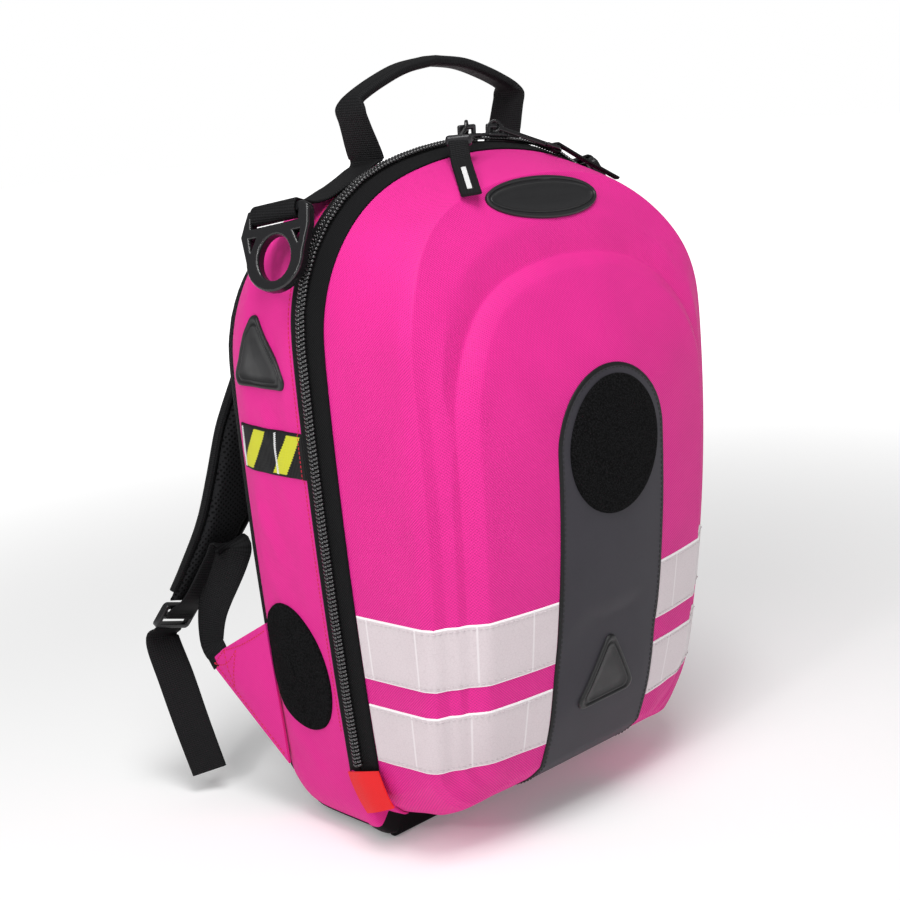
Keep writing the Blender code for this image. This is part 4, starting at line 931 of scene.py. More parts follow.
def sew(name, line, finish, body, slot, pitch=0.0042, length=0.0031, thick=0.00045, lift=0.0):
    """Stitches at an even pitch along a line of places and normals."""
    total = measured(line)[-1]
    count = int(total / pitch)
    points, faces = [], []
    for i in range(count):
        middle = (i + 0.5) * total / count
        ends = along_line(line, [middle - length / 2, middle, middle + length / 2])
        way = (ends[2][0] - ends[0][0]).normalized()
        place, normal = ends[1]
        across = normal.cross(way).normalized()
        faces += bar_faces(len(STITCH_RINGS), STITCH_SIDES, len(points))
        for share, width in STITCH_RINGS:
            height = thick * (STITCH_RISE - STITCH_DIVE * share * share) + lift
            centre = place + way * (share * length) + normal * height
            points += circle(centre, across, normal, thick * width, STITCH_SIDES)
    return settle(new_piece(name, points, faces), finish, body, slot)


print("stitches ready")

# %% [markdown]
# ## Reflective film
# Four bands of pale film run from the middle panel round the lid's sides to the zip. The film comes in
# short lengths inside a welded white border. Each band's map gives the distance along it and in from
# its border, so one finish draws the film, its joints and the border.

# %% Reflective film
BAND_BORDER = 0.0014
FILM_LENGTH = 0.046
FILM_CELL = 0.0024
FILM_PATCH = 0.05
FILM_DARK, FILM_LIGHT = (0.57, 0.49, 0.515, 1.0), (0.69, 0.61, 0.635, 1.0)
FILM_JOINT, FILM_BORDER = (0.76, 0.70, 0.72, 1.0), (0.88, 0.86, 0.87, 1.0)

reflective = Finish("reflective_film", (0.66, 0.60, 0.625), 0.30, coat_weight=0.3, coat_roughness=0.15)
along, inset = reflective.flat_places()
cells = reflective.cells(FILM_CELL, "DISTANCE_TO_EDGE").step(0.0, 0.10)
joint = abs((along / FILM_LENGTH).rest() - 0.5).step(0.012, 0.020)
border = 1.0 - inset.step(BAND_BORDER * 0.9, BAND_BORDER)
film = reflective.mix(cells * 0.4 + reflective.cloud(FILM_PATCH) * 0.6, FILM_DARK, FILM_LIGHT)
film = reflective.mix(joint, FILM_JOINT, film)
reflective.set("Base Color", reflective.mix(border, film, FILM_BORDER))
reflective.bump(cells * 0.2 + joint * 0.3 + (1.0 - border) * 0.5, 0.00012)
print("film in pieces of", FILM_LENGTH, "m")

# %% [markdown]
# ## Reflective bands
# Each band is laid along level lines of the lid, so that it bends with the moulding. A fan of rays from
# inside the lid finds a line, which is cut off beside the middle panel and just before the zip. A seam
# of grey thread runs close to each long edge.

# %% Bands
FORWARD = Vector((0, -1, 0))
DOWN = Vector((0, 0, -1))
FAN_DEPTH = -0.062
BAND_SWEEP = (15, 100)
BAND_THICKNESS = 0.0010
STITCH_INSET = 0.0032
STITCH_END = 0.002


def band_line(side, height, inner, back):
    """A level line on the lid, from a distance out from the middle to a depth near the zip."""
    centre = Vector((0, FAN_DEPTH, height))
    line = fan(lid_skin, centre, FORWARD, Vector((side, 0, 0)), *BAND_SWEEP)
    return trimmed(trimmed(line, lambda p: abs(p.x) - inner), lambda p: back - p.y)


for level in ("lower", "upper"):
    for name, side in SIDES.items():
        node = f"reflective_{level}_{name}"
        low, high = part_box(node)
        inner = min(abs(low.x), abs(high.x))
        tall = high.z - low.z
        band = lay_band(
            f"band_{level}_{name}", lambda height: band_line(side, height, inner, high.y),
            low.z, high.z, rows=6, columns=40, thickness=BAND_THICKNESS,
            map_place=lambda run, up: (run, min(up, tall - up)))
        settle(band, reflective, "lid", "reflective", node)
        for edge, height in (("foot", low.z + STITCH_INSET), ("head", high.z - STITCH_INSET)):
            line = band_line(side, height, inner + STITCH_END, high.y - STITCH_END)
            sew(f"band_thread_{level}_{name}_{edge}", line, thread_grey, "lid", "reflective",
                lift=BAND_THICKNESS)
        print(node, "is", round(tall, 3), "m tall")

# %% [markdown]
# ## Panel finish
# The strip down the middle of the lid is dark grey coated cloth with a black hem. The hem follows the
# strip's straight sides and its round arch, and the distance from its middle line gives both.

# %% Panel finish
PANEL_HALF = 0.0575
ARCH_CENTRE = 0.3075
PANEL_HEM = 0.0026
HEM_FADE = 0.0002
PANEL_DARK, PANEL_LIGHT = (0.028, 0.026, 0.033, 1.0), (0.042, 0.039, 0.049, 1.0)

grey_panel = Finish("grey_coated_panel", (0.036, 0.034, 0.042), 0.55, specular_ior_level=0.25)
x, _, z = grey_panel.places()
above = (z - ARCH_CENTRE).over(0.0)
from_middle = (x * x + above * above) ** 0.5
hem = from_middle.step(PANEL_HALF - PANEL_HEM - HEM_FADE, PANEL_HALF - PANEL_HEM)
grain = grey_panel.cloud(0.0016) * 0.4 + grey_panel.cloud(0.03) * 0.6
tone = grey_panel.mix(grain, PANEL_DARK, PANEL_LIGHT)
grey_panel.set("Base Color", grey_panel.mix(hem, tone, (*BLACK, 1.0)))
grey_panel.bump(grain * 0.5 + (1.0 - hem) * 0.5, 0.00012)
print("panel hem", PANEL_HEM, "m")

# %% [markdown]
# ## Middle panel
# The strip runs from under the lid's chin to its arch. Upright lines on the lid give its columns. Each
# column stops at the arch, so the round top needs no cutting. The columns are as far apart as even
# steps round the arch, so they crowd together at the sides, where the arch is steep.

# %% Panel
PANEL_THICKNESS = 0.0012
PANEL_FAN = Vector((0, -0.072, 0.20))
PANEL_SWEEP = (2, 160)
PANEL_RAYS = 360
PANEL_COLUMNS = 56
PANEL_ROWS = 150
PANEL_EDGES = (0.0, 0.0008, 0.002, 0.004)
JUST_INSIDE = 0.9999


def panel_line(x, trim=0.0):
    """An upright line on the lid from the panel's foot, under the chin, to its arch."""
    centre = Vector((x, PANEL_FAN.y, PANEL_FAN.z))
    line = fan(lid_skin, centre, DOWN, FORWARD, *PANEL_SWEEP, PANEL_RAYS)
    half = PANEL_HALF - trim
    top = ARCH_CENTRE + sqrt(max(0.0, half ** 2 - x ** 2))
    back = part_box("centre_panel")[1].y
    return trimmed(trimmed(line, lambda p: top - p.z), lambda p: back - p.y)


def panel_edge_distance(place):
    return PANEL_HALF - hypot(place.x, max(place.z - ARCH_CENTRE, 0.0))


turns = [pi * i / PANEL_COLUMNS for i in range(PANEL_COLUMNS + 1)]
lines = [panel_line(-JUST_INSIDE * PANEL_HALF * cos(turn)) for turn in turns]
grid, lifts = [], []
for share in spread(1.0, PANEL_ROWS, PANEL_EDGES):
    row = [along_line(line, [share * measured(line)[-1]])[0] for line in lines]
    grid.append(row)
    lifts.append([rounded_edge(panel_edge_distance(p), PANEL_THICKNESS) for p, _ in row])
settle(lay("panel", grid, lifts), grey_panel, "lid", "grey_panel", "centre_panel")
print("panel of", len(grid), "rows laid")

# %% [markdown]
# ## Panel seam
# One black seam goes up the panel's left edge, round its arch and down the right edge. It is a line of
# hits like the others, with the arch shot from the front.

# %% Panel seam
SEAM_INSET = 0.0036
ARCH_STEPS = 48
RAY_START = 0.4

half = PANEL_HALF - SEAM_INSET
border = panel_line(-half, SEAM_INSET)
for i in range(ARCH_STEPS + 1):
    angle = pi - pi * i / ARCH_STEPS
    start = Vector((half * cos(angle), -RAY_START, ARCH_CENTRE + half * sin(angle)))
    border.append(lid_skin.hit(start, -FORWARD))
border += reversed(panel_line(half, SEAM_INSET))
sew("panel_thread", border, thread_black, "lid", "grey_panel", lift=PANEL_THICKNESS)
print(round(measured(border)[-1], 2), "m of panel seam")

# %% [markdown]
# ## Outlines of patches and badges
# Ovals of loop pile and blank rubber badges sit on the cloth. An outline is a function that gives its
# points set in from the edge by a distance, so one outline makes every ring of a plate.

# %% Outlines
OVAL_POINTS = 72
ARC_STEPS = 8
EDGE_STEPS = 12


def oval(width, height):
    """Points of an oval, set in from its edge by a distance."""
    def ring(inset):
        a, b = width / 2 - inset, height / 2 - inset
        turns = [2 * pi * i / OVAL_POINTS for i in range(OVAL_POINTS)]
        return [(a * cos(turn), b * sin(turn)) for turn in turns]
    ring.reach = min(width, height) / 2
    return ring


def triangle(base, height, corner):
    """Points of a round-cornered triangle about the middle of its inner circle."""
    radius = base * height / (base + 2 * hypot(base / 2, height))
    tips = [Vector((0.0, height - radius)), Vector((-base / 2, -radius)), Vector((base / 2, -radius))]
    centres = [tip * (1 - corner / radius) for tip in tips]
    edges = [tip - before for before, tip in zip(tips[-1:] + tips[:-1], tips)]
    turns = [atan2(edge.y, edge.x) - pi / 2 for edge in edges]
    outline = []
    for k in range(3):
        first, last = turns[k], turns[(k + 1) % 3]
        while last < first:
            last += 2 * pi
        arc = [mix(first, last, i / ARC_STEPS) for i in range(ARC_STEPS + 1)]
        outline += [centres[k] + Vector((cos(turn), sin(turn))) * corner for turn in arc]
        begin = outline[-1]
        end = centres[(k + 1) % 3] + Vector((cos(last), sin(last))) * corner
        outline += [begin.lerp(end, i / EDGE_STEPS) for i in range(1, EDGE_STEPS)]

    def ring(inset):
        return [point * (1 - inset / radius) for point in outline]
    ring.reach = radius
    return ring


print("an oval has", OVAL_POINTS, "points round it")

# %% [markdown]
# ## Plates on a skin
# A plate is a set of rings of hits, from its edge to its middle. Each ring has its own height above the
# cloth, so a badge's raised rim is just a change of height from ring to ring.

# %% Plates
RING_GAP = 0.006
INNERMOST = 0.97


def plate(name, skin, shape, aim, profile):
    """Rings of hits from a shape's edge inward. The profile lists (distance from the edge, height)."""
    steps = list(profile)
    last, height = steps[-1]
    more = max(2, ceil((shape.reach - last) / RING_GAP))
    steps += [(mix(last, shape.reach * INNERMOST, i / more), height) for i in range(1, more + 1)]
    points = []
    for inset, height in steps:
        for a, b in shape(inset):
            place, normal = skin.hit(*aim(a, b))
            points.append(place + normal * height)
    count = len(shape(0.0))
    faces = ring_faces(len(steps), count)
    faces.append(tuple(range(len(points) - count, len(points))))
    item = new_piece(name, points, faces)
    item.data.update()
    if item.data.polygons[-1].normal.dot(skin.hit(*aim(0.0, 0.0))[1]) < 0:
        item.data.flip_normals()
    return item


def from_front(x, z, tilt=0.0):
    """Rays at the bag's front about a middle, for a plate that may be tilted."""
    c, s = cos(radians(tilt)), sin(radians(tilt))

    def aim(a, b):
        return Vector((x + a * c - b * s, -RAY_START, z + a * s + b * c)), -FORWARD
    return aim


def from_side(side, y, z, tilt=0.0):
    """Rays at one side of the bag about a middle."""
    c, s = cos(radians(tilt)), sin(radians(tilt))

    def aim(a, b):
        return Vector((side * RAY_START, y + a * c + b * s, z - a * s + b * c)), Vector((-side, 0, 0))
    return aim


print("plates ready")

# %% [markdown]
# ## Patches and badges
# Loop pile is a soft plate with a rounded edge. A rubber badge is pressed with a high rim and a thin
# raised line inside it, around a plain field. Both profiles are lists of heights from the edge inward.

# %% Patches and badges
PILE = [(0.0, -0.0002), (0.0002, 0.0010), (0.0008, 0.0018), (0.0018, 0.0022), (0.004, 0.0023)]
RIM = [
    (0.0, -0.0002), (0.0001, 0.0012), (0.0005, 0.0021), (0.0012, 0.0025), (0.0020, 0.0025),
    (0.0026, 0.0020), (0.0030, 0.0012), (0.0038, 0.0011), (0.0042, 0.0018), (0.0048, 0.0021),
    (0.0054, 0.0018), (0.0060, 0.0012),
]
TRIANGLE = triangle(0.070, 0.060, 0.006)
OVAL_BADGE, OVAL_BADGE_TILT = oval(0.111, 0.030), -3.0
SIDE_LOOPS, SIDE_LOOP_TILT = oval(0.076, 0.104), 14.0


def on_panel(profile):
    """The same heights on top of the middle panel."""
    return [(inset, height + PANEL_THICKNESS) for inset, height in profile]


def middle_of(node):
    low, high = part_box(node)
    return Vector([(a + b) / 2 for a, b in zip(low, high)])


low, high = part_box("front_loop_patch")
aim = from_front(0, (low.z + high.z) / 2)
loops = plate("front_loops", lid_skin, oval(high.x - low.x, high.z - low.z), aim, on_panel(PILE))
settle(loops, loop_pile, "lid", "loop_pile", "front_loop_patch")

aim = from_front(0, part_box("front_badge")[0].z + TRIANGLE.reach)
badge = plate("front_badge_rubber", lid_skin, TRIANGLE, aim, on_panel(RIM))
settle(badge, rubber, "lid", "badge", "front_badge")

middle = middle_of("oval_badge")
aim = from_front(middle.x, middle.z, OVAL_BADGE_TILT)
badge = plate("oval_badge_rubber", lid_skin, OVAL_BADGE, aim, RIM)
settle(badge, rubber, "lid", "badge", "oval_badge")

aim = from_side(SIDES["left"], middle_of("side_badge").y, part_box("side_badge")[0].z + TRIANGLE.reach)
badge = plate("side_badge_rubber", tub_skin, TRIANGLE, aim, RIM)
settle(badge, rubber, "pack", "badge", "side_badge")

for name, side in SIDES.items():
    node = f"side_loop_patch_{name}"
    middle = middle_of(node)
    aim = from_side(side, middle.y, middle.z, SIDE_LOOP_TILT)
    loops = plate(f"side_loops_{name}", tub_skin, SIDE_LOOPS, aim, PILE)
    settle(loops, loop_pile, "pack", "loop_pile", node)
print("patches and badges laid, a triangle's inner circle is", round(TRIANGLE.reach, 4), "m")

# %% [markdown]
# ## Side bands
# A hi-vis webbing crosses each side of the tub above the middle. It is held by bar tacks, which are
# rows of close stitches to and fro, near its back end and at about two fifths of its length.

# %% Side bands
SIDE_BAND = 0.0016
TACKS = (0.40, 0.955)
TACK_TURNS = 44
TACK_HALF = 0.0011
TACK_INSET = 0.002


def side_hit(side, y, z):
    """Where a level ray from outside meets the tub's side."""
    return tub_skin.hit(Vector((side * RAY_START, y, z)), Vector((-side, 0, 0)))


def cross_line(side, height, front, back, count=60):
    """A level line on the tub's side, from front to back."""
    return [side_hit(side, mix(front, back, i / count), height) for i in range(count + 1)]


for name, side in SIDES.items():
    node = f"side_webbing_{name}"
    low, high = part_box(node)
    tall = high.z - low.z
    band = lay_band(
        f"side_band_{name}", lambda height: cross_line(side, height, low.y, high.y),
        low.z, high.z, rows=8, columns=24, thickness=SIDE_BAND,
        map_place=lambda run, up: (up - tall / 2, run))
    settle(band, hi_vis, "pack", "hi_vis_webbing", node)
    for k, share in enumerate(TACKS):
        tack = []
        for i in range(TACK_TURNS + 1):
            depth = mix(low.y, high.y, share) + (TACK_HALF if i % 2 else -TACK_HALF)
            height = mix(low.z + TACK_INSET, high.z - TACK_INSET, i / TACK_TURNS)
            tack.append(side_hit(side, depth, height))
        sew(f"side_band_tack_{name}_{k}", tack, thread_white, "pack", "hi_vis_webbing",
            pitch=0.0023, length=0.0026, thick=0.0004, lift=SIDE_BAND)
print("side bands laid,", round(tall, 3), "m tall")

# %% [markdown]
# ## The zip's line
# The zip runs in an upside-down U between the lid and the tub. Its teeth need a line to follow, with
# the direction out of the bag at each place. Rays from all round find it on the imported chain, and the
# direction comes from the line itself, because the chain's own faces are too coarse.

# %% Zip line
BAG_HEART = 0.27
CHAIN_SWEEP = 141
CHAIN_RAYS = 700
CHAIN_LOOK = 3
WELL_OUTSIDE = 0.6


def chain_line(node):
    """The middle of one half of the chain, as a line of places with the direction out of the bag."""
    tree = node_tree(node)
    centre = Vector((0, middle_of(node).y, BAG_HEART))
    places = []
    for i in range(CHAIN_RAYS + 1):
        angle = radians(mix(-CHAIN_SWEEP, CHAIN_SWEEP, i / CHAIN_RAYS))
        way = Vector((sin(angle), 0, cos(angle)))
        place = tree.ray_cast(centre + way * WELL_OUTSIDE, -way)[0]
        if place:
            places.append(place)
    line = []
    for i, place in enumerate(places):
        run = places[min(i + CHAIN_LOOK, len(places) - 1)] - places[max(i - CHAIN_LOOK, 0)]
        out = FORWARD.cross(run).normalized()
        line.append((place, outward(out, place - centre)))
    return line


print("zip of", round(measured(chain_line("zip_chain_lid"))[-1], 2), "m")

# %% [markdown]
# ## Zip tapes and teeth
# Each half of the zip has a woven tape and a row of coil teeth, and the halves ride on different bodies,
# so the zip parts when the lid opens. A tooth is a small slanted bar with round ends. The teeth stand at
# an even pitch, half a pitch apart on the two halves. An Array modifier bent along a curve would do it
# too, but it stretches the teeth in tight bends.

# %% Teeth
TOOTH_PITCH = 0.0031
TOOTH_THICK = TOOTH_PITCH * 0.40
TOOTH_TALL = 1.1
TOOTH_REACH = 1.06
TOOTH_SINK = 0.0012
TOOTH_SLANT = 0.0013
TOOTH_ARCH = 0.0005
TOOTH_RINGS = [(0.0, 0.35), (0.10, 0.85), (0.3, 1.0), (0.7, 1.0), (0.9, 0.9), (1.0, 0.45)]
TOOTH_SIDES = 8


def make_teeth(name, node, body, way, shift):
    """Slanted round teeth from the tape's edge to just past the middle of the zip."""
    low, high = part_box(node)
    line = chain_line(node)
    total = measured(line)[-1]
    count = int(total / TOOTH_PITCH)
    points, faces = [], []
    for place, out in along_line(line, [(i + shift) * total / count for i in range(count)]):
        run = FORWARD.cross(out)
        faces += bar_faces(len(TOOTH_RINGS), TOOTH_SIDES, len(points))
        for share, size in TOOTH_RINGS:
            reach = way * (high.y - low.y) * (0.5 - TOOTH_REACH * share)
            centre = place - out * TOOTH_SINK - FORWARD * reach
            centre += run * (TOOTH_SLANT * (share - 0.5)) + out * (TOOTH_ARCH * sin(pi * share))
            points += circle(centre, run, out * TOOTH_TALL, TOOTH_THICK * size, TOOTH_SIDES)
    item = new_piece(name, points, faces)
    work = bmesh.new()
    work.from_mesh(item.data)
    bmesh.ops.recalc_face_normals(work, faces=work.faces)
    work.to_mesh(item.data)
    work.free()
    print(name, count)
    return settle(item, coil_plastic, body, "zip_chain", node)


for half, body, way, shift in (("body", "pack", 1, 0.25), ("lid", "lid", -1, 0.75)):
    tape = dress(f"zip_tape_{half}", f"tape_{half}", sharp=40)
    settle(tape, tape_cloth, body, "zip_tape", f"zip_tape_{half}")
    make_teeth(f"teeth_{half}", f"zip_chain_{half}", body, way, shift)

# %% [markdown]
# ## Zip ends
# A red tab is folded over each end of the zip. It hangs straight down while the lid's corner curves in
# under it, and a pink flap closes the lid's side. A few lines of points, joined by smooth curves both
# ways, make the tab's sheet.

# %% Zip ends
TAB_LINES = [
    [(0.1572, -0.0262, 0.0640), (0.1569, -0.0295, 0.0550),
     (0.1556, -0.0355, 0.0420), (0.1532, -0.0400, 0.0320)],
    [(0.1608, -0.0435, 0.0700), (0.1603, -0.0465, 0.0610),
     (0.1588, -0.0520, 0.0485), (0.1566, -0.0560, 0.0390)],
    [(0.1582, -0.0635, 0.0750), (0.1578, -0.0665, 0.0665),
     (0.1564, -0.0705, 0.0545), (0.1542, -0.0735, 0.0465)],
]
TAB_STEPS = 5
TAB_CLOTH = 0.0014


def loft(name, lines, steps):
    """A smooth sheet through a few lines that each have as many points."""
    lines = [curve_through(line, steps) for line in lines]
    across = [curve_through([line[i] for line in lines], steps) for i in range(len(lines[0]))]
    points = [p for row in across for p in row]
    return new_piece(name, points, sheet_faces(len(across), len(across[0])))


for name, side in SIDES.items():
    tab = loft(f"end_tab_{name}", [mirrored(line, side) for line in TAB_LINES], TAB_STEPS)
    keep_result(tab, "SOLIDIFY", thickness=TAB_CLOTH, offset=0.0)
    settle(tab, red_fabric, "pack", "zip_tape", f"zip_end_tab_{name}")
    flap = dress(f"zip_end_flap_{name}", f"end_flap_{name}", sharp=30)
    settle(flap, pink_fabric, "lid", "zip_tape", f"zip_end_flap_{name}")
print("zip ends covered")

# %% [markdown]
# ## Lower corners
# Below the tab the tub's cloth goes on round the corner to the base, turned in along the zip. A black
# boot covers the heel. The cloth is a loft like the tab, black from the boot on, and the boot itself is
# trim laid on the tub's skin.

# %% Corner cloth and boots
CORNER_RIM = [
    (0.1560, 0.0660), (0.1547, 0.0520), (0.1530, 0.0392), (0.1500, 0.0269), (0.1435, 0.0159),
    (0.1345, 0.0073), (0.1280, 0.0044),
]
CORNER_ROWS = [
    (-0.0300, -0.0006), (-0.0335, -0.0006), (-0.0380, 0.0002), (-0.0408, 0.0018), (-0.0420, 0.0050),
    (-0.0424, 0.0170),
]
CORNER_MIDDLE = Vector((0.09, 0, 0.09))
CORNER_STEPS = 4
CORNER_CLOTH = 0.0012
BOOT_START = 4
BOOT_DEPTHS = (-0.0335, 0.0570)
BOOT_FAN = 0.14
BOOT_TURN = (43.2, 46.6)
BOOT_ROWS = 14
BOOT_LIFTS = [0.0009] * 8 + [0.0006, -0.0002]

for name, side in SIDES.items():
    rows = []
    for depth, inward in CORNER_ROWS:
        rim = [Vector((x, 0, z)) for x, z in CORNER_RIM]
        line = [p + (CORNER_MIDDLE - p).normalized() * inward for p in rim]
        rows.append([Vector((side * p.x, depth, p.z)) for p in line])
    corner = loft(f"corner_cloth_{name}", rows, CORNER_STEPS)
    black_from = CORNER_STEPS * BOOT_START * CORNER_STEPS * (len(CORNER_ROWS) - 1)
    for face in corner.data.polygons:
        face.material_index = 1 if face.index >= black_from else 0
    keep_result(corner, "SOLIDIFY", thickness=CORNER_CLOTH, offset=0.0)
    settle(corner, [pink_fabric, black_fabric], "pack", "pink_fabric")
    grid = []
    for i in range(BOOT_ROWS + 1):
        centre = Vector((0, mix(*BOOT_DEPTHS, i / BOOT_ROWS), BOOT_FAN))
        grid.append(fan(tub_skin, centre, DOWN, Vector((side, 0, 0)), *BOOT_TURN, len(BOOT_LIFTS) - 1))
    boot = lay(f"boot_cloth_{name}", grid, [BOOT_LIFTS] * len(grid))
    settle(boot, black_fabric, "pack", "black_fabric")
print("corners covered")

# %% [markdown]
# ## Red seam
# A red seam holds the zip's tape to the tub. Its line is an upright fan of rays, a little behind the zip,
# and where it crosses a side band the stitches stand on the band.

# %% Red seam
SEAM_DEPTH = ZIP_Y + 0.0185
SEAM_SWEEP = 138
SEAM_RAYS = 500

heart = Vector((0, SEAM_DEPTH, BAG_HEART))
seam = fan(tub_skin, heart, -DOWN, Vector((1, 0, 0)), -SEAM_SWEEP, SEAM_SWEEP, SEAM_RAYS)
low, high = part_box("side_webbing_left")
over_band = [(p + n * (SIDE_BAND if low.z < p.z < high.z else 0.0), n) for p, n in seam]
sew("tub_seam_thread", over_band, thread_red, "pack", "pink_fabric",
    pitch=0.0034, length=0.0025, thick=0.00035)
print(round(measured(seam)[-1], 2), "m of red seam")

# %% [markdown]
# ## Sliders, links, rings and locks
# These pieces are moulded or cast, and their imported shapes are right. They only need what a mould gives
# them: edges that are rounded over, so each edge carries a thin line of light. Smoothing thins the bars
# of a cast piece, so they are made a little fuller first. The locks have clean edges and take a bevel.

# %% Hard fittings
CASTINGS = [
    ("slider", "slider_cast", 0.0004, 4, 0.0008, slider_enamel, "slider", "zip_metal"),
    ("pull_link", "pull_link_cast", 0.0004, 3, 0.0003, black_plastic, "pull", "black_plastic"),
    ("dring", "ring_moulded", 0.0005, 5, 0.0009, black_plastic, "dring", "black_plastic"),
]
LOCK_EDGE = 0.0008

for name in SIDES:
    for node, piece, voxel, rounds, fuller, finish, body, slot in CASTINGS:
        item = cast(f"{node}_{name}", f"{piece}_{name}", voxel, rounds, fuller)
        settle(item, finish, f"{body}_{name}", slot, f"{node}_{name}")
    lock = bevelled(f"ladder_lock_{name}", f"lock_moulded_{name}", LOCK_EDGE)
    settle(lock, black_plastic, "pack", "black_plastic", f"ladder_lock_{name}")
print(len(CASTINGS) + 1, "kinds of fitting rounded")

# %% [markdown]
# ## Pads
# Foam under cloth swells between its seams, so a pad starts a little thin and the cloth solver blows it
# up. Each point stops at a limit, because foam gives only a little.

# %% Swelling a pad
def swell(item, voxel, shrink, most, pressure=4.0, frames=20):
    """Blow a pad up with the cloth solver from a thinner start, and stop each point at a limit."""
    keep_result(item, "REMESH", mode="VOXEL", voxel_size=voxel)
    shift_points(item, lambda at, normal: normal * -shrink)
    start = [vertex.co.copy() for vertex in item.data.vertices]
    cloth = item.modifiers.new("cloth", "CLOTH")
    cloth.settings.use_pressure = True
    cloth.settings.uniform_pressure_force = pressure
    cloth.settings.effector_weights.gravity = 0.0
    cloth.point_cache.frame_end = frames
    for step in range(1, frames + 1):
        bpy.context.scene.frame_set(step)
    graph = bpy.context.evaluated_depsgraph_get()
    blown = [vertex.co.copy() for vertex in item.evaluated_get(graph).data.vertices]
    item.modifiers.clear()
    bpy.context.scene.frame_set(1)
    for vertex, first, last in zip(item.data.vertices, start, blown):
        move = last - first
        vertex.co = first + move * min(1.0, most / max(move.length, 1e-9))
    return keep_result(item, "SUBSURF", levels=1, render_levels=1)


print("pads can swell")

# %% [markdown]
# ## Base, back and inside
# The base and back are foam under black cloth. The base is rounded all over, so it is cast, and the back
# pad is swollen. The inside is seen when the lid is open: a stiff board against the back, two dividers
# and a pocket in the lid. Those are thin and plain, so the dividers and the pocket only lose a little
# edge, and the board keeps its imported solid with a new finish.

# %% Base, back and inside
base = cast("base_panel", "base_cloth", voxel=0.0016, rounds=24)
settle(base, black_fabric, "pack", "black_fabric", "base_panel")
back = dress("back_panel", "back_pad", levels=2, sharp=60)
swell(back, voxel=0.005, shrink=0.0015, most=0.0020)
keep_result(back, "SMOOTH", factor=0.5, iterations=6)
settle(back, spacer_mesh, "pack", "black_mesh", "back_panel")
for level in ("lower", "upper"):
    divider = dress(f"divider_{level}", f"divider_cloth_{level}", sharp=30)
    settle(divider, lining, "pack", "black_fabric", f"divider_{level}")
pocket = dress("lid_pocket", "pocket_cloth", sharp=30)
settle(pocket, lining, "lid", "black_fabric", "lid_pocket")
NODES["back_stiffener"].data.materials.clear()
NODES["back_stiffener"].data.materials.append(board.material)
print("back pad:", len(back.data.polygons), "faces")

# %% [markdown]
# ## The handle's path
# One long webbing makes the handle. It loops round the bar of one ring, runs up the shoulder, turns up
# into a leg, is folded double for the hand, and comes down the other side in the same way. Only the
# right half is drawn, seen from the front. The webbing grows narrower up the leg and thicker where it
# is folded.

# %% Handle path
WEBBING = 0.038
THICK = 0.0022
SHOULDER_SLOPE = 0.1624
RING_BAR = Vector((0.1588, 0.0, 0.4907))
RING_LOOP, RING_WRAP = 0.0063, (-192, 78)
RUN = [
    (0.1601, 0.4969), (0.1480, 0.4938), (0.1340, 0.4922), (0.1200, 0.4948), (0.1050, 0.5018),
    (0.0900, 0.5082), (0.0770, 0.5146),
]
FOOT_MIDDLE, FOOT_BEND, FOOT_TURN = Vector((0.0770, 0.0, 0.5196)), 0.005, (258, 180)
LEG_FOOT, LEG_HEAD = Vector((0.0720, 0.0, 0.5196)), Vector((0.0806, 0.0, 0.5470))
LEG_STEPS = 8
LEG_WIDTH, LEG_RISE = 0.034, (0.520, 0.550)
GRIP = [
    (0.0829, 0.5540), (0.0820, 0.5598), (0.0766, 0.5645), (0.0560, 0.5737), (0.0300, 0.5822),
    (0.0, 0.5860),
]
GRIP_WIDTH, GRIP_THICK = 0.0215, 0.0076
FOLD_POINTS = (7, 18)


def seen_from_front(points):
    return [Vector((x, 0, z)) for x, z in points]


def around(centre, radius, start, end, count):
    """Points of an arc seen from the front, between two angles in degrees."""
    turns = [radians(mix(start, end, i / count)) for i in range(count + 1)]
    return [centre + Vector((cos(turn), 0, sin(turn))) * radius for turn in turns]


def half_handle():
    """Path, directions across, widths and thicknesses of the right half, from the ring to the middle."""
    path = around(RING_BAR, RING_LOOP, *RING_WRAP, count=24)
    path += curve_through(seen_from_front(RUN), steps=4)[1:-1]
    path += around(FOOT_MIDDLE, FOOT_BEND, *FOOT_TURN, count=8)
    path += [LEG_FOOT.lerp(LEG_HEAD, i / LEG_STEPS) for i in range(1, LEG_STEPS)]
    grip_start = len(path)
    path += curve_through([LEG_HEAD] + seen_from_front(GRIP), steps=6)
    ways, widths, thicks = [], [], []
    for i, place in enumerate(path):
        up = rise(place.z, LEG_RISE)
        fold = rise(i - grip_start, FOLD_POINTS)
        ways.append(Vector((0, 1, -SHOULDER_SLOPE * (1 - up))))
        widths.append(mix(mix(WEBBING, LEG_WIDTH, up), GRIP_WIDTH, fold))
        thicks.append(mix(THICK, GRIP_THICK, fold))
    return path, ways, widths, thicks


path, ways, widths, thicks = half_handle()
print("half a handle has", len(path), "points")

# %% [markdown]
# ## Handle
# The two halves are joined into one strap, with each end turned a little to the front as the ring pulls
# it. The imported model turns the grip on two knuckles. Real webbing just bends there; this piece is one
# fixed strap from the tub to the grip and rides on no body.

# %% Handle
HANDLE_Y = -0.013
RING_TWIST = 20.0
TWIST_REACH = (0.102, 0.1468)


def twisted(place, way, side):
    """Turn the ring's end of the strap a little to the front."""
    share = rise(abs(place.x), TWIST_REACH)
    turn = Matrix.Rotation(-side * radians(RING_TWIST) * share, 3, "Z")
    centre = Vector((side * RING_BAR.x, 0, 0))
    return centre + turn @ (place - centre) + Vector((0, HANDLE_Y, 0)), turn @ way


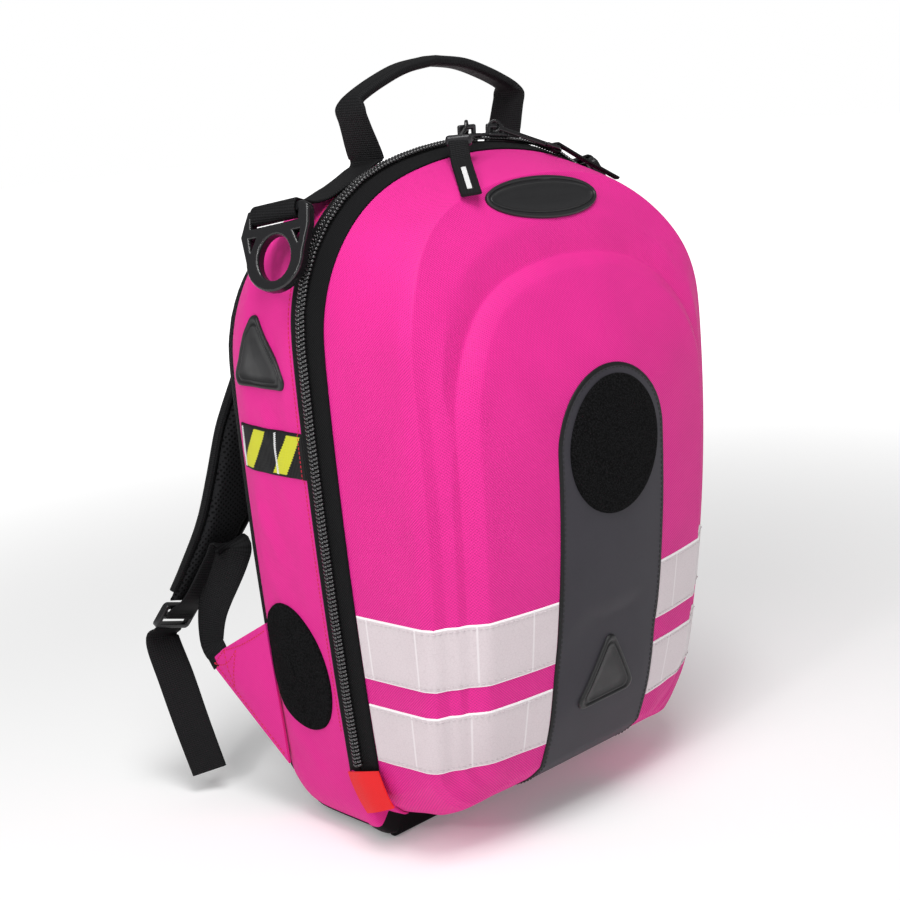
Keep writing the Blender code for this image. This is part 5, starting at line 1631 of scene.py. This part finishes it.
left = [twisted(Vector((-p.x, 0, p.z)), w, -1) for p, w in zip(path, ways)]
right = [twisted(p, w, 1) for p, w in zip(path, ways)]
whole = left + right[-2::-1]
handle = strap("handle_webbing", [p for p, _ in whole], [w for _, w in whole],
               widths + widths[-2::-1], thicks + thicks[-2::-1])
settle(handle, black_webbing, None, "black_webbing",
       "handle_strap_left", "handle_strap_right", "handle_grip")
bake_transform(handle)
print("handle:", round(measured(whole)[-1], 2), "m of webbing")

# %% [markdown]
# ## Pull tabs
# Each pull ends in a short webbing tab that is folded round the link's bar and carries a plain white
# bar. Its route is drawn in the pull's own directions, ahead and up, as an arc and two straight
# stretches.

# %% Pull tabs
TAB_FOLD = 0.00296
TAB_WIDTH = 0.015
FOLD_TURNS = 18
STRETCH_POINTS = 8
BAR_WIDTH, BAR_THICK, BAR_LIFT = 0.0036, 0.0007, 0.0002
PULLS = {
    "left": (Vector((-0.0330, -0.0727, 0.5280)), Vector((-0.777, -0.629, 0.015)),
             Vector((0.629, -0.777, -0.012)), [(0.020, 52.0), (0.049, 26.0)], 0.26),
    "right": (Vector((0.0734, -0.0694, 0.5130)), Vector((0.804, -0.588, -0.090)),
              Vector((0.584, 0.809, -0.066)), [(0.018, 30.0), (0.036, 28.0)], 0.0),
}


def tab_route(stretches):
    """An arc round the link's bar, then stretches of (length, dip in degrees), as (ahead, up)."""
    first = 90 - stretches[0][1]
    turns = [radians(mix(first + 270, first, i / FOLD_TURNS)) for i in range(FOLD_TURNS + 1)]
    route = [Vector((TAB_FOLD * cos(turn), TAB_FOLD * sin(turn))) for turn in turns]
    for length, dip in stretches:
        start = route[-1]
        way = Vector((cos(radians(dip)), -sin(radians(dip)))) * length
        route += [start + way * (i / STRETCH_POINTS) for i in range(1, STRETCH_POINTS + 1)]
    return route


for name, (bar, ahead, across, stretches, slant) in PULLS.items():
    up = ahead.cross(across)
    path = [bar + ahead * u + up * v + across * (slant * max(0.0, u - 2 * TAB_FOLD))
            for u, v in tab_route(stretches)]
    tab = strap(f"pull_tab_webbing_{name}", path, [across] * len(path), TAB_WIDTH, THICK)
    settle(tab, black_webbing, f"pull_{name}", "black_webbing", f"pull_tab_{name}")
    tilt = radians(stretches[1][1])
    lift = (ahead * sin(tilt) + up * cos(tilt)) * (THICK / 2 + BAR_LIFT)
    bar_path = [p + lift for p in path[-7:-1]]
    mark = strap(f"pull_tab_bar_{name}", bar_path, [across] * len(bar_path), BAR_WIDTH, BAR_THICK)
    settle(mark, white_tape, f"pull_{name}", "black_webbing")
print("pull tabs folded at a radius of", TAB_FOLD, "m")

# %% [markdown]
# ## Clamp
# A small moulded clamp holds the fold of the left tab at its link. It is a block drawn in the pull's own
# directions, so it needs no turning into place, and a bevel rounds its edges.

# %% Clamp
CLAMP = (0.0100, 0.0190, 0.0080)
CLAMP_EDGE = 0.0022
BLOCK_FACES = [(0, 2, 3, 1), (4, 5, 7, 6), (0, 1, 5, 4), (2, 6, 7, 3), (0, 4, 6, 2), (1, 3, 7, 5)]

bar, ahead, across, _, _ = PULLS["left"]
ways = [ahead, across, ahead.cross(across)]
points = []
for i in range(8):
    steps = [way * (((i >> k & 1) - 0.5) * CLAMP[k]) for k, way in enumerate(ways)]
    points.append(bar + steps[0] + steps[1] + steps[2])
clamp = new_piece("pull_clamp_left", points, BLOCK_FACES)
keep_result(clamp, "BEVEL", width=CLAMP_EDGE, segments=4)
settle(clamp, slider_enamel, "pull_left", "black_plastic")
print("clamp", CLAMP)

# %% [markdown]
# ## Shoulder straps
# Each shoulder strap is a foam pad in mesh cloth, bound with tape along both edges. The binding follows
# the pad's edges, which rays from outside find, and it is thick enough to wrap over them.

# %% Shoulder pads
PAD_ROUTE = [
    (0.058, 0.0884, 0.468), (0.063, 0.0894, 0.440), (0.073, 0.1014, 0.400), (0.086, 0.1194, 0.352),
    (0.099, 0.1304, 0.312), (0.114, 0.1354, 0.271), (0.131, 0.1414, 0.232), (0.149, 0.1534, 0.196),
    (0.163, 0.1664, 0.165),
]
LOCK_ACROSS = (0.936, -0.168, 0.310)
BINDING = 0.0085
BINDING_THICKS = (0.0078, 0.0056)
BINDING_LAP = 0.0012
PAD_OUTSIDE = 0.08

for name, side in SIDES.items():
    node = f"shoulder_strap_{name}"
    pad = dress(node, f"shoulder_pad_{name}", sharp=70)
    swell(pad, voxel=0.003, shrink=0.0012, most=0.0022)
    settle(pad, spacer_mesh, "pack", "black_mesh", node)
    path = curve_through(mirrored(PAD_ROUTE, side), 6)
    ways = spread_ways(mirrored([(1, 0, 0), (1, 0, 0), LOCK_ACROSS], side), len(path))[1:-2]
    tree = node_tree(node)
    for edge, turn in (("inner", -1), ("outer", 1)):
        line = []
        for place, way in zip(path[1:-2], ways):
            out = way * turn
            found = tree.ray_cast(place + out * PAD_OUTSIDE, -out)[0]
            line.append(found - out * (BINDING / 2 - BINDING_LAP))
        count = len(line)
        thicks = [mix(*BINDING_THICKS, smooth(2 * i / count - 1)) for i in range(count)]
        tape = strap(f"pad_binding_{name}_{edge}", line, ways, BINDING, thicks)
        settle(tape, black_webbing, "pack", "black_webbing")
print("shoulder pads bound with", BINDING, "m tape")

# %% [markdown]
# ## Lower webbing and tails
# Webbing is sewn into the tip of a cloth wing, rises slack to the ladder lock and hangs on as a free
# tail with a hemmed end. Each is a strap along a few points, with its own directions across so that it
# can twist.

# %% Webbing and tails
NARROW_WEBBING = 0.030
NARROW_THICK = 0.0018
LOWER_ROUTE = [
    (0.1600, 0.1240, 0.1190), (0.1600, 0.1298, 0.1280), (0.1595, 0.1362, 0.1374),
    (0.1530, 0.1370, 0.1650), (0.1430, 0.1220, 0.2020), (0.1400, 0.1180, 0.2150),
    (0.1420, 0.1250, 0.2170), (0.1460, 0.1310, 0.2060), (0.1581, 0.1506, 0.1713),
    (0.1649, 0.1651, 0.1584), (0.1678, 0.1687, 0.1518),
]
LOWER_WAYS = [
    (0, 0.8, -0.6), (0.1, 0.8, -0.55), (0.4, 0.8, -0.3), (0.8, 0.5, -0.1), (1, 0.1, 0),
    LOCK_ACROSS, LOCK_ACROSS,
]
TAIL_ROUTE = [
    (0.1725, 0.1785, 0.1428), (0.1767, 0.1838, 0.1329), (0.1760, 0.1710, 0.1000),
    (0.1730, 0.1600, 0.0600), (0.1690, 0.1490, 0.0200),
]
TAIL_WAYS = [LOCK_ACROSS, (1, 0.3, 0), (0.8, 0.6, 0), (0.72, 0.69, 0)]
HEM_POINTS = 4


def hang(piece, name, path, ways, thicks):
    """Narrow webbing along a path, with a few directions across shared out over it."""
    ways = spread_ways(mirrored(ways, SIDES[name]), len(path))
    item = strap(f"{piece}_strap_{name}", path, ways, NARROW_WEBBING, thicks)
    settle(item, black_webbing, "pack", "black_webbing", f"{piece}_{name}")


for name, side in SIDES.items():
    path = curve_through(mirrored(LOWER_ROUTE, side), 6)
    hang("lower_webbing", name, path, LOWER_WAYS, NARROW_THICK)
    path = curve_through(mirrored(TAIL_ROUTE, side), 8)
    thicks = [NARROW_THICK] * (len(path) - HEM_POINTS) + [2 * NARROW_THICK] * HEM_POINTS
    hang("webbing_tail", name, path, TAIL_WAYS, thicks)
print("webbing", NARROW_WEBBING, "m wide hung")

# %% [markdown]
# ## Wings
# A wing of pink cloth comes from the back seam on each side and holds the lower webbing. It is two
# layers with red seams round its edge and a crossed box of stitches at its tip. It is held stretched,
# so it only billows a little, and a sine both ways with some noise is enough for that.

# %% Wings
WING = [
    (0.1608, 0.0545, 0.1690), (0.1528, 0.0545, 0.0470), (0.1600, 0.1400, 0.1180),
    (0.1600, 0.1170, 0.1340),
]
WING_ROWS, WING_COLUMNS = 25, 31
WING_BILLOW, WING_CREASE = 0.0035, 0.35
WING_THICK = 0.0022
WING_SEAMS = {
    "top": ((0.04, 0.045), (0.97, 0.14)),
    "low": ((0.04, 0.965), (0.97, 0.86)),
    "end": ((0.95, 0.12), (0.95, 0.88)),
    "box": ((0.66, 0.16), (0.66, 0.84)),
    "cross": ((0.66, 0.16), (0.95, 0.86)),
    "back": ((0.66, 0.84), (0.95, 0.12)),
}


def wing_place(corners, side, u, v):
    """A place on the wing: u runs from the back seam to the tip, and v from the top to the low edge."""
    root_top, root_low, tip_low, tip_top = corners
    flat = root_top.lerp(tip_top, u).lerp(root_low.lerp(tip_low, u), v)
    crease = WING_CREASE * noise.noise(Vector((u * 3.0, v * 2.5, 4.0)))
    billow = WING_BILLOW * sin(pi * v) * (sin(pi * u) + crease)
    return flat + Vector((side, 0, 0)) * billow


def wing_line(corners, side, start, end, count=40):
    """A line on the wing's outer face between two places given as (u, v)."""
    out = Vector((side, 0, 0))
    line = []
    for i in range(count + 1):
        u, v = (mix(a, b, i / count) for a, b in zip(start, end))
        line.append((wing_place(corners, side, u, v) + out * WING_THICK / 2, out))
    return line


for name, side in SIDES.items():
    corners = mirrored(WING, side)
    points = [wing_place(corners, side, u / (WING_COLUMNS - 1), v / (WING_ROWS - 1))
              for v in range(WING_ROWS) for u in range(WING_COLUMNS)]
    wing = new_piece(f"wing_cloth_{name}", points, sheet_faces(WING_ROWS, WING_COLUMNS))
    keep_result(wing, "SOLIDIFY", thickness=WING_THICK, offset=0.0)
    settle(wing, pink_fabric, "pack", "pink_fabric", f"wing_{name}")
    for seam, ends in WING_SEAMS.items():
        line = wing_line(corners, side, *ends)
        sew(f"wing_thread_{name}_{seam}", line, thread_red, "pack", "pink_fabric",
            pitch=0.0036, length=0.0027, thick=0.0004)
print("wings sewn with", len(WING_SEAMS), "seams each")

# %% [markdown]
# ## Floor
# The bag stands on a pale floor that fades into the white around it. Near the bag the floor takes its
# shadow, and further away it glows by itself, so no edge shows.

# %% Floor
FLOOR_HALF = 9
FLOOR_HEIGHT = -0.0008
WHITE = (1.0, 1.0, 1.0, 1.0)
FLOOR_GLOW = (0.16, 0.16, 0.16, 1.0)

floor_finish = Finish("pale_floor", (0.90, 0.90, 0.90), 0.6, specular_ior_level=0.1)
floor_finish.shades(floor_finish.cloud(0.8), 0.99, 1.01)
x, y, _ = floor_finish.places()
far = ((x * x + y * y) ** 0.5).step(0.5, 2.2)
floor_finish.set("Emission Color", floor_finish.mix(far, FLOOR_GLOW, WHITE))
floor_finish.set("Emission Strength", 1.0)
square = [(-1, -1), (1, -1), (1, 1), (-1, 1)]
corners = [(a * FLOOR_HALF, b * FLOOR_HALF, FLOOR_HEIGHT) for a, b in square]
floor = new_piece("floor", corners, [(0, 1, 2, 3)])
floor.data.materials.append(floor_finish.material)
print("floor", 2 * FLOOR_HALF, "m wide")

# %% [markdown]
# ## Lamps
# A large soft key lamp comes from the front left and another from above. They model the lid's steps. A
# small lamp close to the key puts sparks on the teeth and fittings.

# %% Lamps
def area_light(name, place, aim, size, power):
    light = bpy.data.lights.new(name, "AREA")
    light.size = size
    light.energy = power
    item = bpy.data.objects.new(name, light)
    item.location = place
    item.rotation_euler = (Vector(aim) - Vector(place)).to_track_quat("-Z", "Y").to_euler()
    bpy.context.scene.collection.objects.link(item)
    print(name, power, "W")


area_light("key", (-1.7, -0.7, 1.9), (0, 0, 0.3), 1.2, 18)
area_light("top", (-0.55, -0.80, 2.4), (0, 0, 0.4), 1.0, 34)
area_light("spark", (-1.6, -0.5, 1.1), (0, 0, 0.35), 0.16, 4)

# %% [markdown]
# ## Sky
# The photograph is a product shot on pure white. A lit room that is white to the camera would also
# flood the bag with light, so the sky has two strengths: full white where the camera looks straight at
# it, and a weaker one for lighting.

# %% Sky
LIGHTING = 0.26

sky = bpy.data.worlds.new("studio")
sky.use_nodes = True
studio = Network(sky.node_tree)
studio.tree.nodes.remove(studio.tree.nodes["Background"])
seen = studio.add("ShaderNodeBackground", {}, {"Color": WHITE})
room = studio.add("ShaderNodeBackground", {}, {"Color": WHITE, "Strength": LIGHTING})
is_seen = studio.add("ShaderNodeLightPath", output="Is Camera Ray")
either = studio.add("ShaderNodeMixShader", {}, {0: is_seen, 1: room, 2: seen})
studio.join(studio.tree.nodes["World Output"].inputs["Surface"], either)
bpy.context.scene.world = sky
bpy.context.scene.view_settings.view_transform = "Standard"
print("the sky lights the bag at", LIGHTING)
